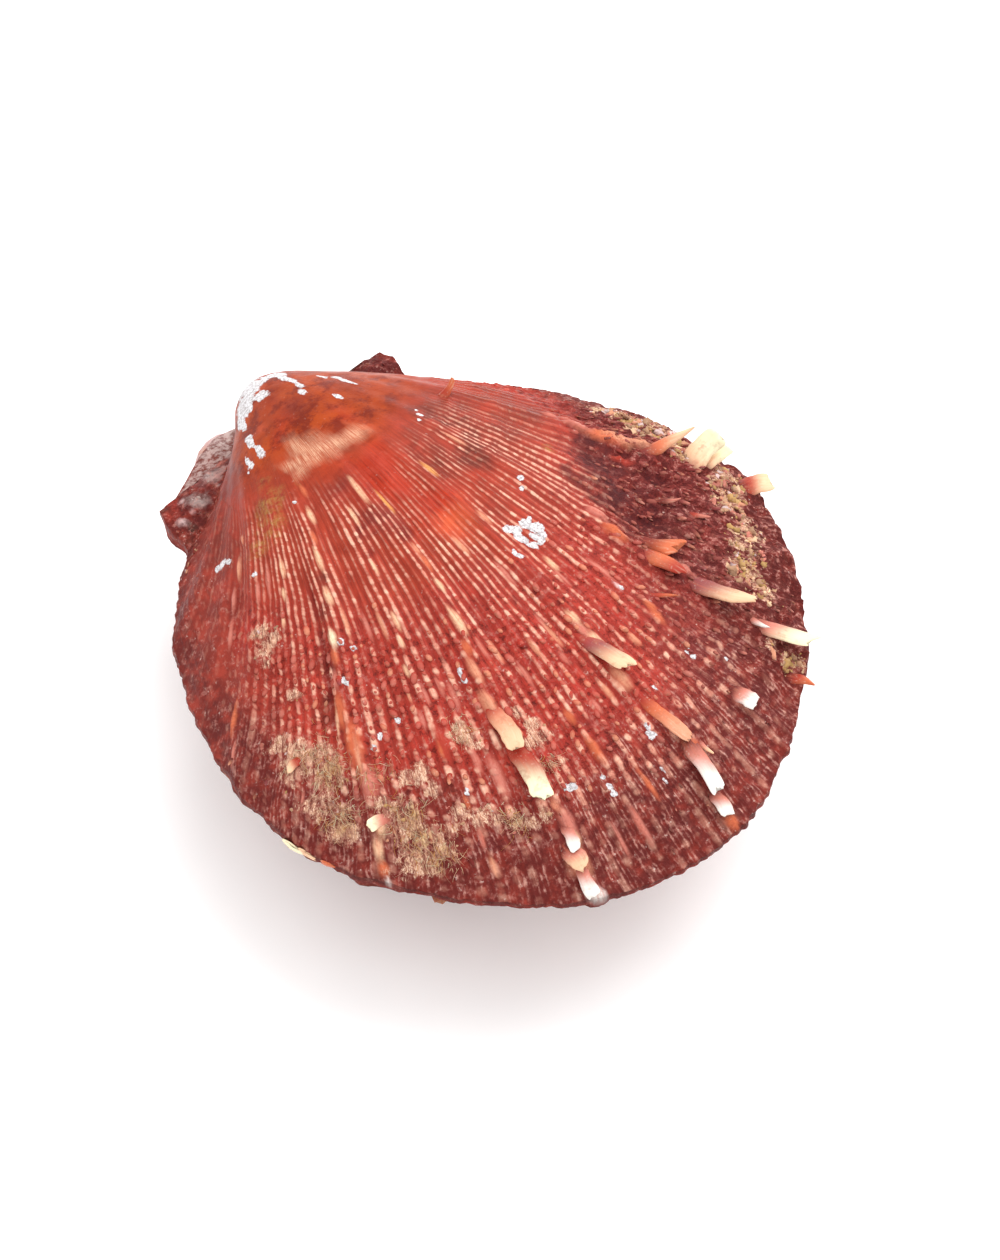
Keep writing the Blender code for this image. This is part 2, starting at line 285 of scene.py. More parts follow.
def marked(shape, fan, growth, wander, places):
    """Colour, strength and swelling of long marks on the ribs, each (fan, growth, length, width, tone)."""
    colour, strength, swelling = np.zeros(fan.shape + (3,)), np.zeros(fan.shape), np.zeros(fan.shape)
    for at, level, length, width, tone in places:
        near = smooth_outside(shape, np.array([at - 0.005, at, at + 0.005]), [level - 0.02, level - 0.01, level])
        onwards = (growth - level) * np.linalg.norm(near[2, 1] - near[0, 1]) / 0.02 / (length / 2)
        aside = (fan - at) * np.linalg.norm(near[1, 2] - near[1, 0]) / 0.01 / (width / 2)
        away = np.sqrt(onwards**2 + aside**2) * wander
        mask = np.clip((1.2 - away) / 0.8, 0, 1)
        colour = mixed(colour, TONES[tone], np.where(strength > 0, mask, mask > 0))
        strength = np.maximum(strength, mask)
        height = 0.12 * width + 0.18 * max(0.0, width - 1.1)
        swelling = np.maximum(swelling, height * np.clip(1.2 - away**2, 0, 1))
    return colour, strength, swelling


def dash_strength(line, cell):
    return ramp(dice(line, cell, 5), 0.15, 0.7)


def dashes(line, steps):
    """Dashes along each riblet, one after another, of uneven strength. Steps counts them from the beak."""
    place = steps + BEAD_SHIFT * dice(line, 3)
    cell = np.floor(place)
    share = place - cell
    return np.clip(1.3 - 1.5 * np.abs(2 * share - 1), 0, 1) * dash_strength(line, cell), share


# ---------------------------------------------------------------- tones and places of pigment

# Pigments and stuffs by name, as linear red, green and blue.
TONES = {
    "rust": (0.28, 0.034, 0.006),
    "brick": (0.35, 0.042, 0.020),
    "flame": (0.41, 0.030, 0.010),
    "ember": (0.63, 0.098, 0.036),
    "crimson": (0.38, 0.033, 0.022),
    "scarlet": (0.42, 0.028, 0.018),
    "red": (0.34, 0.036, 0.022),
    "blood": (0.15, 0.010, 0.008),
    "liver": (0.180, 0.025, 0.017),
    "maroon": (0.105, 0.015, 0.013),
    "plum": (0.15, 0.026, 0.024),
    "umber": (0.12, 0.023, 0.014),
    "orange": (0.56, 0.135, 0.058),
    "gold": (0.66, 0.320, 0.090),
    "pink": (0.54, 0.185, 0.140),
    "peach": (0.66, 0.290, 0.175),
    "cream": (0.79, 0.500, 0.310),
    "ivory": (0.84, 0.760, 0.510),
    "white": (0.78, 0.740, 0.690),
    "tan": (0.48, 0.270, 0.160),
    "grey": (0.34, 0.235, 0.200),
    "ash": (0.46, 0.390, 0.360),
    "mauve": (0.25, 0.065, 0.066),
    "dusk": (0.15, 0.048, 0.038),
    "olive": (0.46, 0.270, 0.100),
    "brown": (0.06, 0.026, 0.020),
    "blush": (0.64, 0.470, 0.450),
}
TONES = {name: np.array(tone) for name, tone in TONES.items()}

# Chalky chips, stains, the tan streak and crusts of the upper valve: (fan, growth, radius).
CHIPS = [
    (0.498, 0.112, 1.4), (0.448, 0.112, 2.0), (0.392, 0.116, 2.2), (0.340, 0.124, 2.1), (0.406, 0.148, 1.2),
    (0.282, 0.124, 1.6), (0.258, 0.144, 1.4), (0.244, 0.168, 1.2), (0.582, 0.112, 0.9), (0.576, 0.132, 1.1),
    (0.396, 0.088, 1.7), (0.314, 0.116, 1.9), (0.298, 0.152, 1.3), (0.454, 0.088, 1.5), (0.534, 0.116, 1.3),
    (0.562, 0.156, 0.9), (0.562, 0.172, 0.7), (0.540, 0.184, 0.4), (0.650, 0.180, 0.5), (0.654, 0.192, 0.5),
    (0.654, 0.204, 0.5), (0.672, 0.216, 0.5), (0.662, 0.232, 0.5), (0.658, 0.248, 0.5), (0.514, 0.200, 0.5),
    (0.564, 0.248, 0.5), (0.566, 0.260, 0.5), (0.428, 0.240, 0.3), (0.580, 0.220, 0.3), (0.254, 0.220, 0.9),
    (0.252, 0.236, 0.7), (0.272, 0.256, 0.9), (0.278, 0.272, 0.9), (0.228, 0.268, 0.7), (0.236, 0.288, 0.7),
    (0.538, 0.556, 0.8), (0.544, 0.564, 0.9), (0.560, 0.568, 0.9), (0.568, 0.568, 0.5), (0.562, 0.576, 0.7),
    (0.568, 0.584, 0.8), (0.562, 0.592, 0.8), (0.554, 0.596, 0.8), (0.544, 0.592, 0.8), (0.542, 0.580, 0.8),
    (0.538, 0.572, 0.7), (0.552, 0.584, 0.5), (0.516, 0.584, 0.6), (0.518, 0.592, 0.5), (0.126, 0.624, 0.7),
    (0.138, 0.588, 0.8), (0.152, 0.560, 0.6), (0.208, 0.540, 0.4), (0.304, 0.388, 0.5), (0.642, 0.360, 0.4),
    (0.630, 0.368, 0.5), (0.616, 0.372, 0.4), (0.616, 0.532, 0.5), (0.604, 0.540, 0.5), (0.302, 0.636, 0.6),
    (0.312, 0.644, 0.5), (0.298, 0.700, 0.6), (0.332, 0.752, 0.5), (0.316, 0.780, 0.5), (0.310, 0.800, 0.5),
    (0.398, 0.688, 0.5), (0.398, 0.700, 0.5), (0.498, 0.840, 0.5), (0.496, 0.852, 0.7), (0.522, 0.816, 0.4),
    (0.428, 0.864, 0.7), (0.432, 0.864, 0.5), (0.452, 0.864, 0.5), (0.452, 0.876, 0.5), (0.452, 0.888, 0.5),
    (0.488, 0.892, 0.4), (0.484, 0.904, 0.4), (0.366, 0.852, 0.5), (0.572, 0.712, 0.5), (0.566, 0.824, 0.4),
    (0.566, 0.836, 0.5), (0.582, 0.876, 0.5), (0.248, 0.188, 0.8),
]
STAINS = [(0.252, 0.380, 2.3), (0.250, 0.420, 2.3), (0.222, 0.468, 1.4), (0.696, 0.564, 1.0)]
TAN_STREAK = [
    (0.372, 0.288, 1.4), (0.378, 0.300, 1.9), (0.392, 0.308, 1.9), (0.408, 0.312, 1.7), (0.426, 0.316, 1.5),
    (0.446, 0.316, 1.2), (0.460, 0.320, 1.1), (0.480, 0.320, 1.2), (0.494, 0.320, 1.2), (0.370, 0.316, 1.5),
    (0.350, 0.316, 1.2), (0.328, 0.316, 0.9), (0.390, 0.320, 1.2), (0.344, 0.332, 0.8),
]
CRUSTED = [
    (0.212, 0.664, 1.5), (0.222, 0.668, 1.5), (0.224, 0.692, 0.9), (0.220, 0.712, 0.7), (0.248, 0.744, 0.9),
    (0.254, 0.744, 0.7), (0.238, 0.848, 1.5), (0.252, 0.836, 2.0), (0.264, 0.832, 2.2), (0.274, 0.844, 2.2),
    (0.278, 0.860, 2.0), (0.266, 0.864, 2.0), (0.254, 0.868, 1.8), (0.244, 0.868, 1.5), (0.262, 0.912, 1.6),
    (0.272, 0.912, 2.0), (0.282, 0.916, 2.2), (0.286, 0.936, 2.0), (0.280, 0.948, 1.6), (0.310, 0.880, 1.5),
    (0.320, 0.888, 2.2), (0.328, 0.904, 2.2), (0.318, 0.924, 2.4), (0.332, 0.924, 2.2), (0.322, 0.952, 2.2),
    (0.332, 0.956, 2.0), (0.340, 0.936, 1.8), (0.328, 0.836, 1.5), (0.338, 0.832, 1.5), (0.344, 0.852, 1.5),
    (0.378, 0.760, 1.3), (0.382, 0.780, 1.6), (0.424, 0.760, 1.1), (0.428, 0.776, 1.3), (0.428, 0.796, 1.3),
    (0.420, 0.800, 1.1), (0.428, 0.828, 1.3), (0.380, 0.888, 1.5), (0.390, 0.892, 1.5), (0.398, 0.896, 1.5),
    (0.408, 0.888, 1.3), (0.358, 0.880, 1.6), (0.370, 0.884, 1.5), (0.762, 0.848, 1.5), (0.770, 0.924, 1.3),
    (0.756, 0.924, 1.6), (0.748, 0.932, 2.0), (0.736, 0.936, 1.6), (0.718, 0.896, 1.5), (0.710, 0.912, 1.6),
    (0.696, 0.912, 2.0), (0.682, 0.884, 2.0), (0.680, 0.912, 2.0), (0.664, 0.900, 2.0), (0.658, 0.920, 1.6),
    (0.664, 0.880, 1.5), (0.648, 0.924, 1.5), (0.612, 0.968, 1.3), (0.618, 0.988, 1.3), (0.614, 0.940, 1.1),
    (0.814, 0.840, 2.4), (0.802, 0.856, 2.4), (0.804, 0.920, 2.4), (0.824, 0.832, 2.0), (0.738, 0.900, 1.6),
    (0.728, 0.916, 1.6), (0.696, 0.888, 1.4), (0.776, 0.880, 1.6), (0.780, 0.950, 1.6),
]
MOSSY = [
    (0.762, 0.852, 1.1), (0.704, 0.888, 0.7), (0.668, 0.900, 1.6), (0.614, 0.976, 1.5), (0.278, 0.848, 1.5),
    (0.308, 0.836, 1.3), (0.326, 0.888, 1.3), (0.328, 0.928, 1.6), (0.338, 0.952, 1.5), (0.422, 0.828, 1.1),
    (0.388, 0.888, 1.3), (0.284, 0.924, 1.3), (0.812, 0.836, 1.3), (0.782, 0.960, 0.9),
]

# Patches of the left ear: (fan, growth, radius, tone, share). The brown rows are painted shadow near the ear's margin.
EAR_PATCHES = [
    (0.006, 0.600, 2.4, "ash", 0.5), (0.004, 0.628, 1.1, "blush", 0.4), (0.012, 0.560, 2.0, "ash", 0.5),
    (0.014, 0.772, 1.8, "ash", 0.5), (0.022, 0.740, 1.6, "ash", 0.4), (0.004, 0.792, 0.7, "pink", 0.8),
    (0.008, 0.840, 0.7, "blush", 0.7), (0.020, 0.912, 0.9, "blush", 0.8), (0.020, 0.832, 0.7, "blush", 0.5),
    (0.004, 0.452, 1.1, "pink", 0.6), (0.004, 0.376, 0.9, "ash", 0.5), (0.012, 0.656, 1.5, "plum", 0.6),
    (0.004, 0.684, 1.3, "plum", 0.8), (0.004, 0.896, 1.5, "crimson", 0.4), (0.004, 0.956, 0.9, "brown", 0.8),
    (0.028, 0.900, 1.1, "brown", 0.9), (0.032, 0.952, 0.9, "brown", 0.7), (0.010, 0.920, 1.5, "red", 0.4),
]

# Broad pigments of the upper valve: (fan, growth, radius, tone, share). The umber and blood rows of the upper right,
# the maroon and blood rows of the valley between the two strong ribs on the right, and the small umber rows along the
# left side of the strong rib at fan 0.30, from growth 0.5 to 0.8, are painted shade.
# The flame and ember rows are the shell's orange, with painted glow of light shining through the shell.
GROUND = [
    (0.306, 0.596, 9.1, "crimson", 0.2), (0.634, 0.528, 4.0, "brick", 0.4),
    (0.452, 0.224, 1.8, "umber", 0.5), (0.460, 0.336, 1.3, "umber", 0.6),
    (0.458, 0.392, 4.0, "flame", 0.9), (0.468, 0.428, 3.3, "flame", 0.8), (0.460, 0.368, 2.2, "flame", 0.7),
    (0.494, 0.476, 4.0, "flame", 0.9), (0.494, 0.508, 2.9, "ember", 1.0), (0.486, 0.460, 1.8, "flame", 0.6),
    (0.592, 0.480, 2.5, "flame", 0.7), (0.404, 0.356, 2.2, "flame", 0.4), (0.538, 0.576, 2.5, "flame", 0.4),
    (0.398, 0.380, 2.4, "plum", 0.55), (0.414, 0.452, 2.7, "plum", 0.65), (0.426, 0.492, 0.9, "blood", 0.9),
    (0.378, 0.460, 0.9, "blood", 0.8), (0.374, 0.496, 0.9, "blood", 0.7), (0.606, 0.460, 2.9, "umber", 0.8),
    (0.546, 0.436, 3.3, "umber", 0.5), (0.652, 0.320, 0.9, "blood", 0.5), (0.698, 0.404, 5.5, "umber", 0.55),
    (0.774, 0.540, 5.5, "umber", 0.5), (0.670, 0.488, 5.1, "umber", 0.3), (0.572, 0.388, 2.9, "umber", 0.4),
    (0.714, 0.656, 4.4, "maroon", 1.0), (0.684, 0.684, 4.7, "maroon", 1.0), (0.670, 0.724, 4.4, "maroon", 1.0),
    (0.746, 0.644, 2.5, "maroon", 0.7), (0.644, 0.740, 2.5, "maroon", 0.8), (0.688, 0.804, 4.7, "plum", 0.8),
    (0.646, 0.816, 4.7, "plum", 0.8), (0.606, 0.860, 4.7, "plum", 0.8), (0.564, 0.848, 5.5, "plum", 0.7),
    (0.590, 0.768, 3.6, "plum", 0.5), (0.568, 0.804, 4.0, "plum", 0.5), (0.576, 0.904, 5.5, "plum", 0.8),
    (0.556, 0.932, 5.5, "plum", 0.8), (0.090, 0.696, 6.6, "liver", 0.8), (0.136, 0.824, 7.3, "liver", 0.5),
    (0.172, 0.896, 7.3, "liver", 0.4), (0.202, 0.948, 5.5, "maroon", 0.5), (0.114, 0.408, 4.4, "liver", 0.8),
    (0.168, 0.288, 2.5, "liver", 0.6), (0.456, 0.724, 9.1, "crimson", 0.9), (0.472, 0.808, 9.1, "crimson", 0.9),
    (0.448, 0.668, 4.7, "crimson", 0.8), (0.508, 0.812, 7.3, "crimson", 0.5), (0.196, 0.676, 2.4, "scarlet", 0.8),
    (0.358, 0.780, 2.9, "scarlet", 0.7), (0.540, 0.688, 7.3, "crimson", 0.5), (0.364, 0.720, 7.3, "crimson", 0.5),
    (0.468, 0.856, 7.3, "maroon", 0.35), (0.434, 0.828, 5.5, "crimson", 0.7), (0.304, 0.528, 1.1, "umber", 0.9),
    (0.292, 0.592, 1.1, "umber", 0.9), (0.284, 0.684, 1.3, "umber", 0.9), (0.278, 0.736, 1.1, "umber", 0.9),
    (0.276, 0.768, 1.1, "umber", 0.9), (0.292, 0.964, 2.5, "umber", 0.6), (0.352, 0.856, 2.5, "umber", 0.5),
    (0.402, 0.780, 1.6, "umber", 0.6), (0.640, 0.592, 4.0, "umber", 0.3), (0.452, 0.608, 5.5, "crimson", 0.3),
    (0.502, 0.912, 5.5, "maroon", 0.6), (0.454, 0.940, 7.3, "maroon", 0.7), (0.492, 0.956, 5.5, "maroon", 0.7),
    (0.316, 0.216, 1.3, "ember", 0.45), (0.330, 0.256, 1.6, "flame", 0.6), (0.376, 0.236, 1.8, "flame", 0.4),
    (0.518, 0.284, 1.8, "flame", 0.45), (0.520, 0.320, 1.6, "ember", 0.35), (0.500, 0.264, 1.1, "ember", 0.3),
    (0.464, 0.220, 2.5, "blood", 0.35), (0.412, 0.172, 1.6, "blood", 0.3), (0.240, 0.380, 1.6, "maroon", 0.5),
    (0.836, 0.864, 4.0, "dusk", 0.8), (0.838, 0.970, 4.0, "dusk", 0.8), (0.806, 0.912, 4.0, "dusk", 0.8),
    (0.860, 0.840, 2.9, "dusk", 0.6), (0.708, 0.672, 3.3, "blood", 0.6), (0.678, 0.700, 3.3, "blood", 0.6),
    (0.728, 0.764, 2.2, "blood", 0.6), (0.658, 0.716, 2.5, "blood", 0.5), (0.652, 0.944, 2.9, "dusk", 0.6),
    (0.682, 0.936, 2.9, "dusk", 0.6), (0.624, 0.952, 2.5, "dusk", 0.7), (0.658, 0.368, 2.5, "umber", 0.7),
    (0.662, 0.408, 2.2, "umber", 0.7), (0.648, 0.444, 2.2, "umber", 0.7), (0.612, 0.464, 1.8, "umber", 0.6),
]

# Pale or bright marks along the ribs of the upper valve: (fan, growth, length, width, tone).
MARKS = [
    (0.184, 0.472, 1.7, 1.3, "peach"), (0.174, 0.552, 4.1, 1.5, "peach"), (0.168, 0.640, 4.1, 1.3, "pink"),
    (0.170, 0.720, 5.1, 1.2, "pink"), (0.192, 0.884, 5.7, 1.6, "orange"), (0.198, 0.948, 4.4, 1.0, "pink"),
    (0.328, 0.368, 2.8, 0.8, "orange"), (0.320, 0.416, 3.5, 1.0, "cream"), (0.310, 0.456, 3.1, 1.0, "orange"),
    (0.306, 0.496, 4.6, 1.0, "cream"), (0.302, 0.560, 3.3, 1.3, "cream"), (0.294, 0.632, 3.4, 1.4, "ivory"),
    (0.292, 0.660, 2.9, 1.4, "orange"), (0.288, 0.700, 3.4, 1.2, "pink"), (0.414, 0.400, 6.4, 0.9, "cream"),
    (0.382, 0.436, 4.0, 0.7, "cream"), (0.436, 0.432, 5.8, 0.6, "gold"), (0.370, 0.520, 3.0, 0.7, "cream"),
    (0.428, 0.512, 2.4, 0.7, "peach"), (0.428, 0.536, 3.3, 1.0, "orange"), (0.426, 0.572, 2.8, 1.0, "cream"),
    (0.364, 0.604, 3.4, 0.9, "cream"), (0.360, 0.636, 2.2, 0.9, "cream"), (0.354, 0.680, 2.4, 0.9, "cream"),
    (0.420, 0.624, 5.2, 1.3, "cream"), (0.414, 0.660, 2.9, 1.3, "orange"), (0.410, 0.692, 5.1, 1.4, "peach"),
    (0.476, 0.536, 4.1, 0.9, "peach"), (0.530, 0.428, 4.0, 1.1, "gold"), (0.526, 0.524, 3.2, 1.0, "peach"),
    (0.542, 0.624, 3.4, 1.1, "cream"), (0.512, 0.688, 3.1, 1.3, "cream"), (0.510, 0.708, 3.0, 1.2, "pink"),
    (0.512, 0.724, 3.0, 1.7, "cream"), (0.632, 0.648, 4.2, 2.0, "pink"), (0.622, 0.680, 5.1, 2.4, "orange"),
    (0.574, 0.680, 4.9, 1.0, "pink"), (0.570, 0.708, 2.2, 1.0, "blush"), (0.488, 0.672, 4.7, 0.6, "pink"),
    (0.538, 0.644, 4.1, 0.7, "pink"), (0.406, 0.736, 4.2, 2.0, "peach"), (0.410, 0.756, 1.9, 1.6, "red"),
    (0.410, 0.824, 4.1, 2.3, "red"), (0.416, 0.880, 2.1, 1.1, "peach"), (0.418, 0.904, 4.8, 2.1, "pink"),
    (0.418, 0.924, 2.5, 1.7, "cream"), (0.414, 0.952, 5.1, 3.4, "peach"), (0.416, 0.976, 2.5, 1.7, "pink"),
    (0.416, 0.996, 2.4, 2.9, "white"), (0.456, 0.784, 3.0, 1.3, "orange"), (0.458, 0.832, 5.4, 1.5, "orange"),
    (0.474, 0.896, 5.9, 0.9, "orange"), (0.456, 0.932, 6.8, 1.2, "pink"), (0.442, 0.940, 6.3, 0.7, "pink"),
    (0.512, 0.896, 3.9, 2.3, "orange"), (0.504, 0.964, 4.1, 2.1, "peach"), (0.502, 0.988, 3.0, 1.8, "orange"),
    (0.564, 0.912, 2.3, 2.6, "pink"), (0.754, 0.680, 7.0, 3.0, "orange"), (0.760, 0.752, 6.5, 3.0, "peach"),
    (0.734, 0.704, 4.4, 1.4, "red"), (0.616, 0.428, 4.9, 0.7, "peach"), (0.772, 0.624, 2.6, 1.9, "pink"),
    (0.766, 0.588, 2.6, 1.8, "pink"), (0.252, 0.760, 1.9, 0.8, "pink"), (0.288, 0.748, 6.5, 2.2, "orange"),
    (0.296, 0.800, 8.0, 2.9, "orange"), (0.303, 0.858, 6.0, 2.8, "pink"), (0.298, 0.824, 7.0, 1.1, "peach"),
    (0.284, 0.764, 6.1, 0.6, "cream"), (0.506, 0.780, 4.6, 2.2, "peach"), (0.757, 0.716, 6.0, 2.8, "peach"),
    (0.760, 0.640, 5.0, 2.6, "pink"),
    (0.306, 0.920, 3.3, 1.9, "cream"), (0.304, 0.952, 3.8, 1.8, "cream"), (0.306, 0.980, 2.6, 1.9, "orange"),
    (0.308, 0.998, 1.3, 0.9, "white"), (0.246, 0.864, 3.7, 1.5, "peach"), (0.256, 0.920, 3.3, 0.8, "pink"),
    (0.252, 0.512, 3.5, 1.1, "cream"), (0.248, 0.560, 2.5, 0.9, "cream"), (0.242, 0.612, 2.4, 0.9, "cream"),
    (0.226, 0.540, 6.6, 1.0, "pink"), (0.212, 0.576, 4.2, 0.8, "pink"), (0.380, 0.808, 4.4, 1.1, "pink"),
    (0.390, 0.832, 7.4, 1.8, "pink"), (0.364, 0.868, 2.4, 0.9, "orange"), (0.366, 0.916, 3.5, 0.9, "pink"),
    (0.368, 0.952, 3.5, 1.0, "peach"), (0.352, 0.752, 3.2, 0.9, "pink"), (0.360, 0.784, 5.8, 2.0, "red"),
    (0.358, 0.796, 2.8, 0.7, "orange"), (0.348, 0.716, 2.5, 0.7, "peach"), (0.336, 0.916, 2.5, 0.7, "peach"),
    (0.376, 0.704, 3.9, 0.7, "pink"), (0.384, 0.720, 5.1, 0.9, "pink"), (0.362, 0.716, 3.4, 0.7, "pink"),
    (0.312, 0.604, 5.1, 0.8, "peach"), (0.332, 0.608, 4.9, 0.8, "pink"), (0.348, 0.608, 5.4, 0.7, "peach"),
    (0.436, 0.676, 3.8, 0.7, "peach"), (0.426, 0.668, 3.8, 0.7, "pink"), (0.494, 0.596, 5.3, 0.6, "pink"),
    (0.446, 0.716, 4.9, 0.9, "pink"), (0.466, 0.692, 3.5, 0.8, "peach"), (0.488, 0.688, 4.6, 0.8, "peach"),
    (0.482, 0.720, 2.5, 0.8, "pink"), (0.492, 0.780, 3.5, 1.1, "peach"), (0.478, 0.788, 2.5, 0.9, "pink"),
    (0.576, 0.756, 2.7, 1.2, "orange"), (0.572, 0.772, 2.9, 1.5, "orange"), (0.542, 0.760, 3.0, 1.3, "peach"),
    (0.630, 0.784, 4.6, 1.7, "pink"),
]

# Spines of the upper valve: (fan, growth at the root, length, width, lift and swing in degrees, kind, tones of the
# root and the tip).
UPPER_SPINES = [
    (0.252, 0.856, 2.4, 1.6, 12, -31, "scale", "red", "cream"),
    (0.310, 0.904, 2.7, 1.9, 14, -64, "plate", "pink", "ivory"),
    (0.408, 0.756, 5.8, 3.0, 9, 2, "plate", "peach", "cream"),
    (0.410, 0.808, 8.4, 3.1, 15, -1, "plate", "red", "ivory"),
    (0.416, 0.912, 3.5, 1.9, 14, -4, "plate", "pink", "white"),
    (0.412, 0.940, 3.2, 3.0, 10, 11, "scale", "pink", "cream"),
    (0.414, 0.964, 4.0, 2.1, 10, 2, "plate", "pink", "white"),
    (0.508, 0.724, 6.9, 2.8, 12, 9, "plate", "mauve", "cream"),
    (0.510, 0.828, 6.9, 2.3, 7, 5, "plate", "orange", "peach"),
    (0.510, 0.900, 6.7, 2.9, 10, -18, "plate", "pink", "white"),
    (0.518, 0.900, 2.6, 1.0, 20, -3, "thorn", "pink", "cream"),
    (0.504, 0.956, 3.1, 2.5, 11, -17, "plate", "pink", "white"),
    (0.566, 0.908, 3.1, 3.2, 14, -3, "plate", "pink", "white"),
    (0.636, 0.724, 5.6, 3.4, 16, 12, "forked", "liver", "orange"),
    (0.622, 0.740, 5.5, 3.0, 10, -5, "scale", "orange", "red"),
    (0.624, 0.812, 9.3, 3.2, 20, -3, "scale", "mauve", "cream"),
    (0.624, 0.920, 7.9, 3.2, 20, -4, "plate", "pink", "ivory"),
    (0.624, 0.904, 3.2, 1.3, 26, -31, "thorn", "pink", "white"),
    (0.606, 0.984, 3.1, 2.2, 18, 2, "thorn", "red", "orange"),
    (0.756, 0.784, 6.9, 2.7, 28, 24, "thorn", "orange", "cream"),
    (0.754, 0.864, 5.9, 4.4, 38, 41, "plate", "cream", "ivory"),
    (0.758, 0.900, 4.2, 3.4, 30, 31, "plate", "cream", "ivory"),
    (0.756, 0.868, 2.8, 1.4, 44, 65, "thorn", "peach", "ivory"),
    (0.746, 0.972, 4.1, 4.2, 22, 7, "plate", "red", "cream"),
    (0.696, 0.756, 3.0, 1.4, 26, 1, "thorn", "maroon", "pink"),
    (0.696, 0.812, 2.9, 1.4, 24, -22, "thorn", "red", "pink"),
    (0.588, 0.756, 3.8, 0.9, 16, 33, "thorn", "red", "orange"),
    (0.730, 0.388, 3.4, 1.9, 50, 64, "thorn", "red", "orange"),
]

# Spines of the lower valve, which point out under the margin, in the same order of values.
LOWER_SPINES = [
    (0.250, 0.960, 6.2, 4.4, -3, 0, "plate", "peach", "ivory"),
    (0.262, 0.965, 5.6, 3.8, -4, 4, "plate", "peach", "cream"),
    (0.274, 0.968, 5.2, 3.4, -3, -4, "plate", "orange", "orange"),
    (0.155, 0.74, 4.0, 2.0, 24, 0, "scale", "maroon", "pink"),
    (0.203, 0.68, 4.5, 2.2, 26, 0, "scale", "maroon", "peach"),
    (0.345, 0.88, 4.5, 2.4, 18, 0, "plate", "maroon", "peach"),
    (0.42, 0.86, 5.0, 2.4, 20, 0, "plate", "maroon", "cream"),
    (0.51, 0.88, 4.5, 2.4, 18, 0, "plate", "maroon", "peach"),
    (0.57, 0.84, 5.0, 2.2, 20, 0, "plate", "maroon", "cream"),
    (0.63, 0.90, 4.5, 2.4, 16, 0, "plate", "maroon", "pink"),
    (0.757, 0.84, 5.0, 2.4, 22, 0, "plate", "maroon", "peach"),
    (0.88, 0.86, 4.5, 2.0, 20, 0, "plate", "maroon", "pink"),
]

# The growth at which each stage of the upper valve ended with a low step.
GROWTH_STAGES = [0.40, 0.485, 0.60, 0.715, 0.795, 0.86, 0.905, 0.945]


# ---------------------------------------------------------------- relief and masks of the valves


def rib_relief(fan, growth):
    """Height of the strong ribs and of the weak one halfway between each two, and of the ears' thick edges."""
    count = count_at(fan)
    strong = np.maximum(0, np.cos(2 * math.pi * count)) ** 2
    weak = np.maximum(0, -np.cos(2 * math.pi * count)) ** 2
    from_tip = np.minimum(fan, 1 - fan)
    on_disc = np.clip(from_tip / 0.09, 0, 1) ** 2
    on_ears = np.clip(from_tip / 0.012, 0, 1) * np.clip((0.04 - from_tip) / 0.025, 0, 1)
    grown = ramp(growth, 0.20, 0.58)
    eared = np.clip((growth - 0.5) / 0.3, 0, 1)
    ribs = on_disc * (STRONG_RIB_HEIGHT * strong + WEAK_RIB_HEIGHT * weak)
    return grown * ribs + eared * EAR_THICKENING * on_ears


def riblet_line(count, growth, riblets, seed):
    """Counts the riblets, which sway a little on their way to the margin."""
    sway = 0.9 * (cloud(np.stack([count * 2.5, growth * 9], -1), 1.0, seed, 3) - 0.5)
    return count * riblets + sway


def riblet_crest(line):
    """1 on top of each riblet and 0 in the furrows between them."""
    return 0.5 + 0.5 * np.cos(2 * math.pi * line)


def bead_steps(growth):
    return np.interp(growth, BEAD_GROWTHS, BEAD_COUNTS)


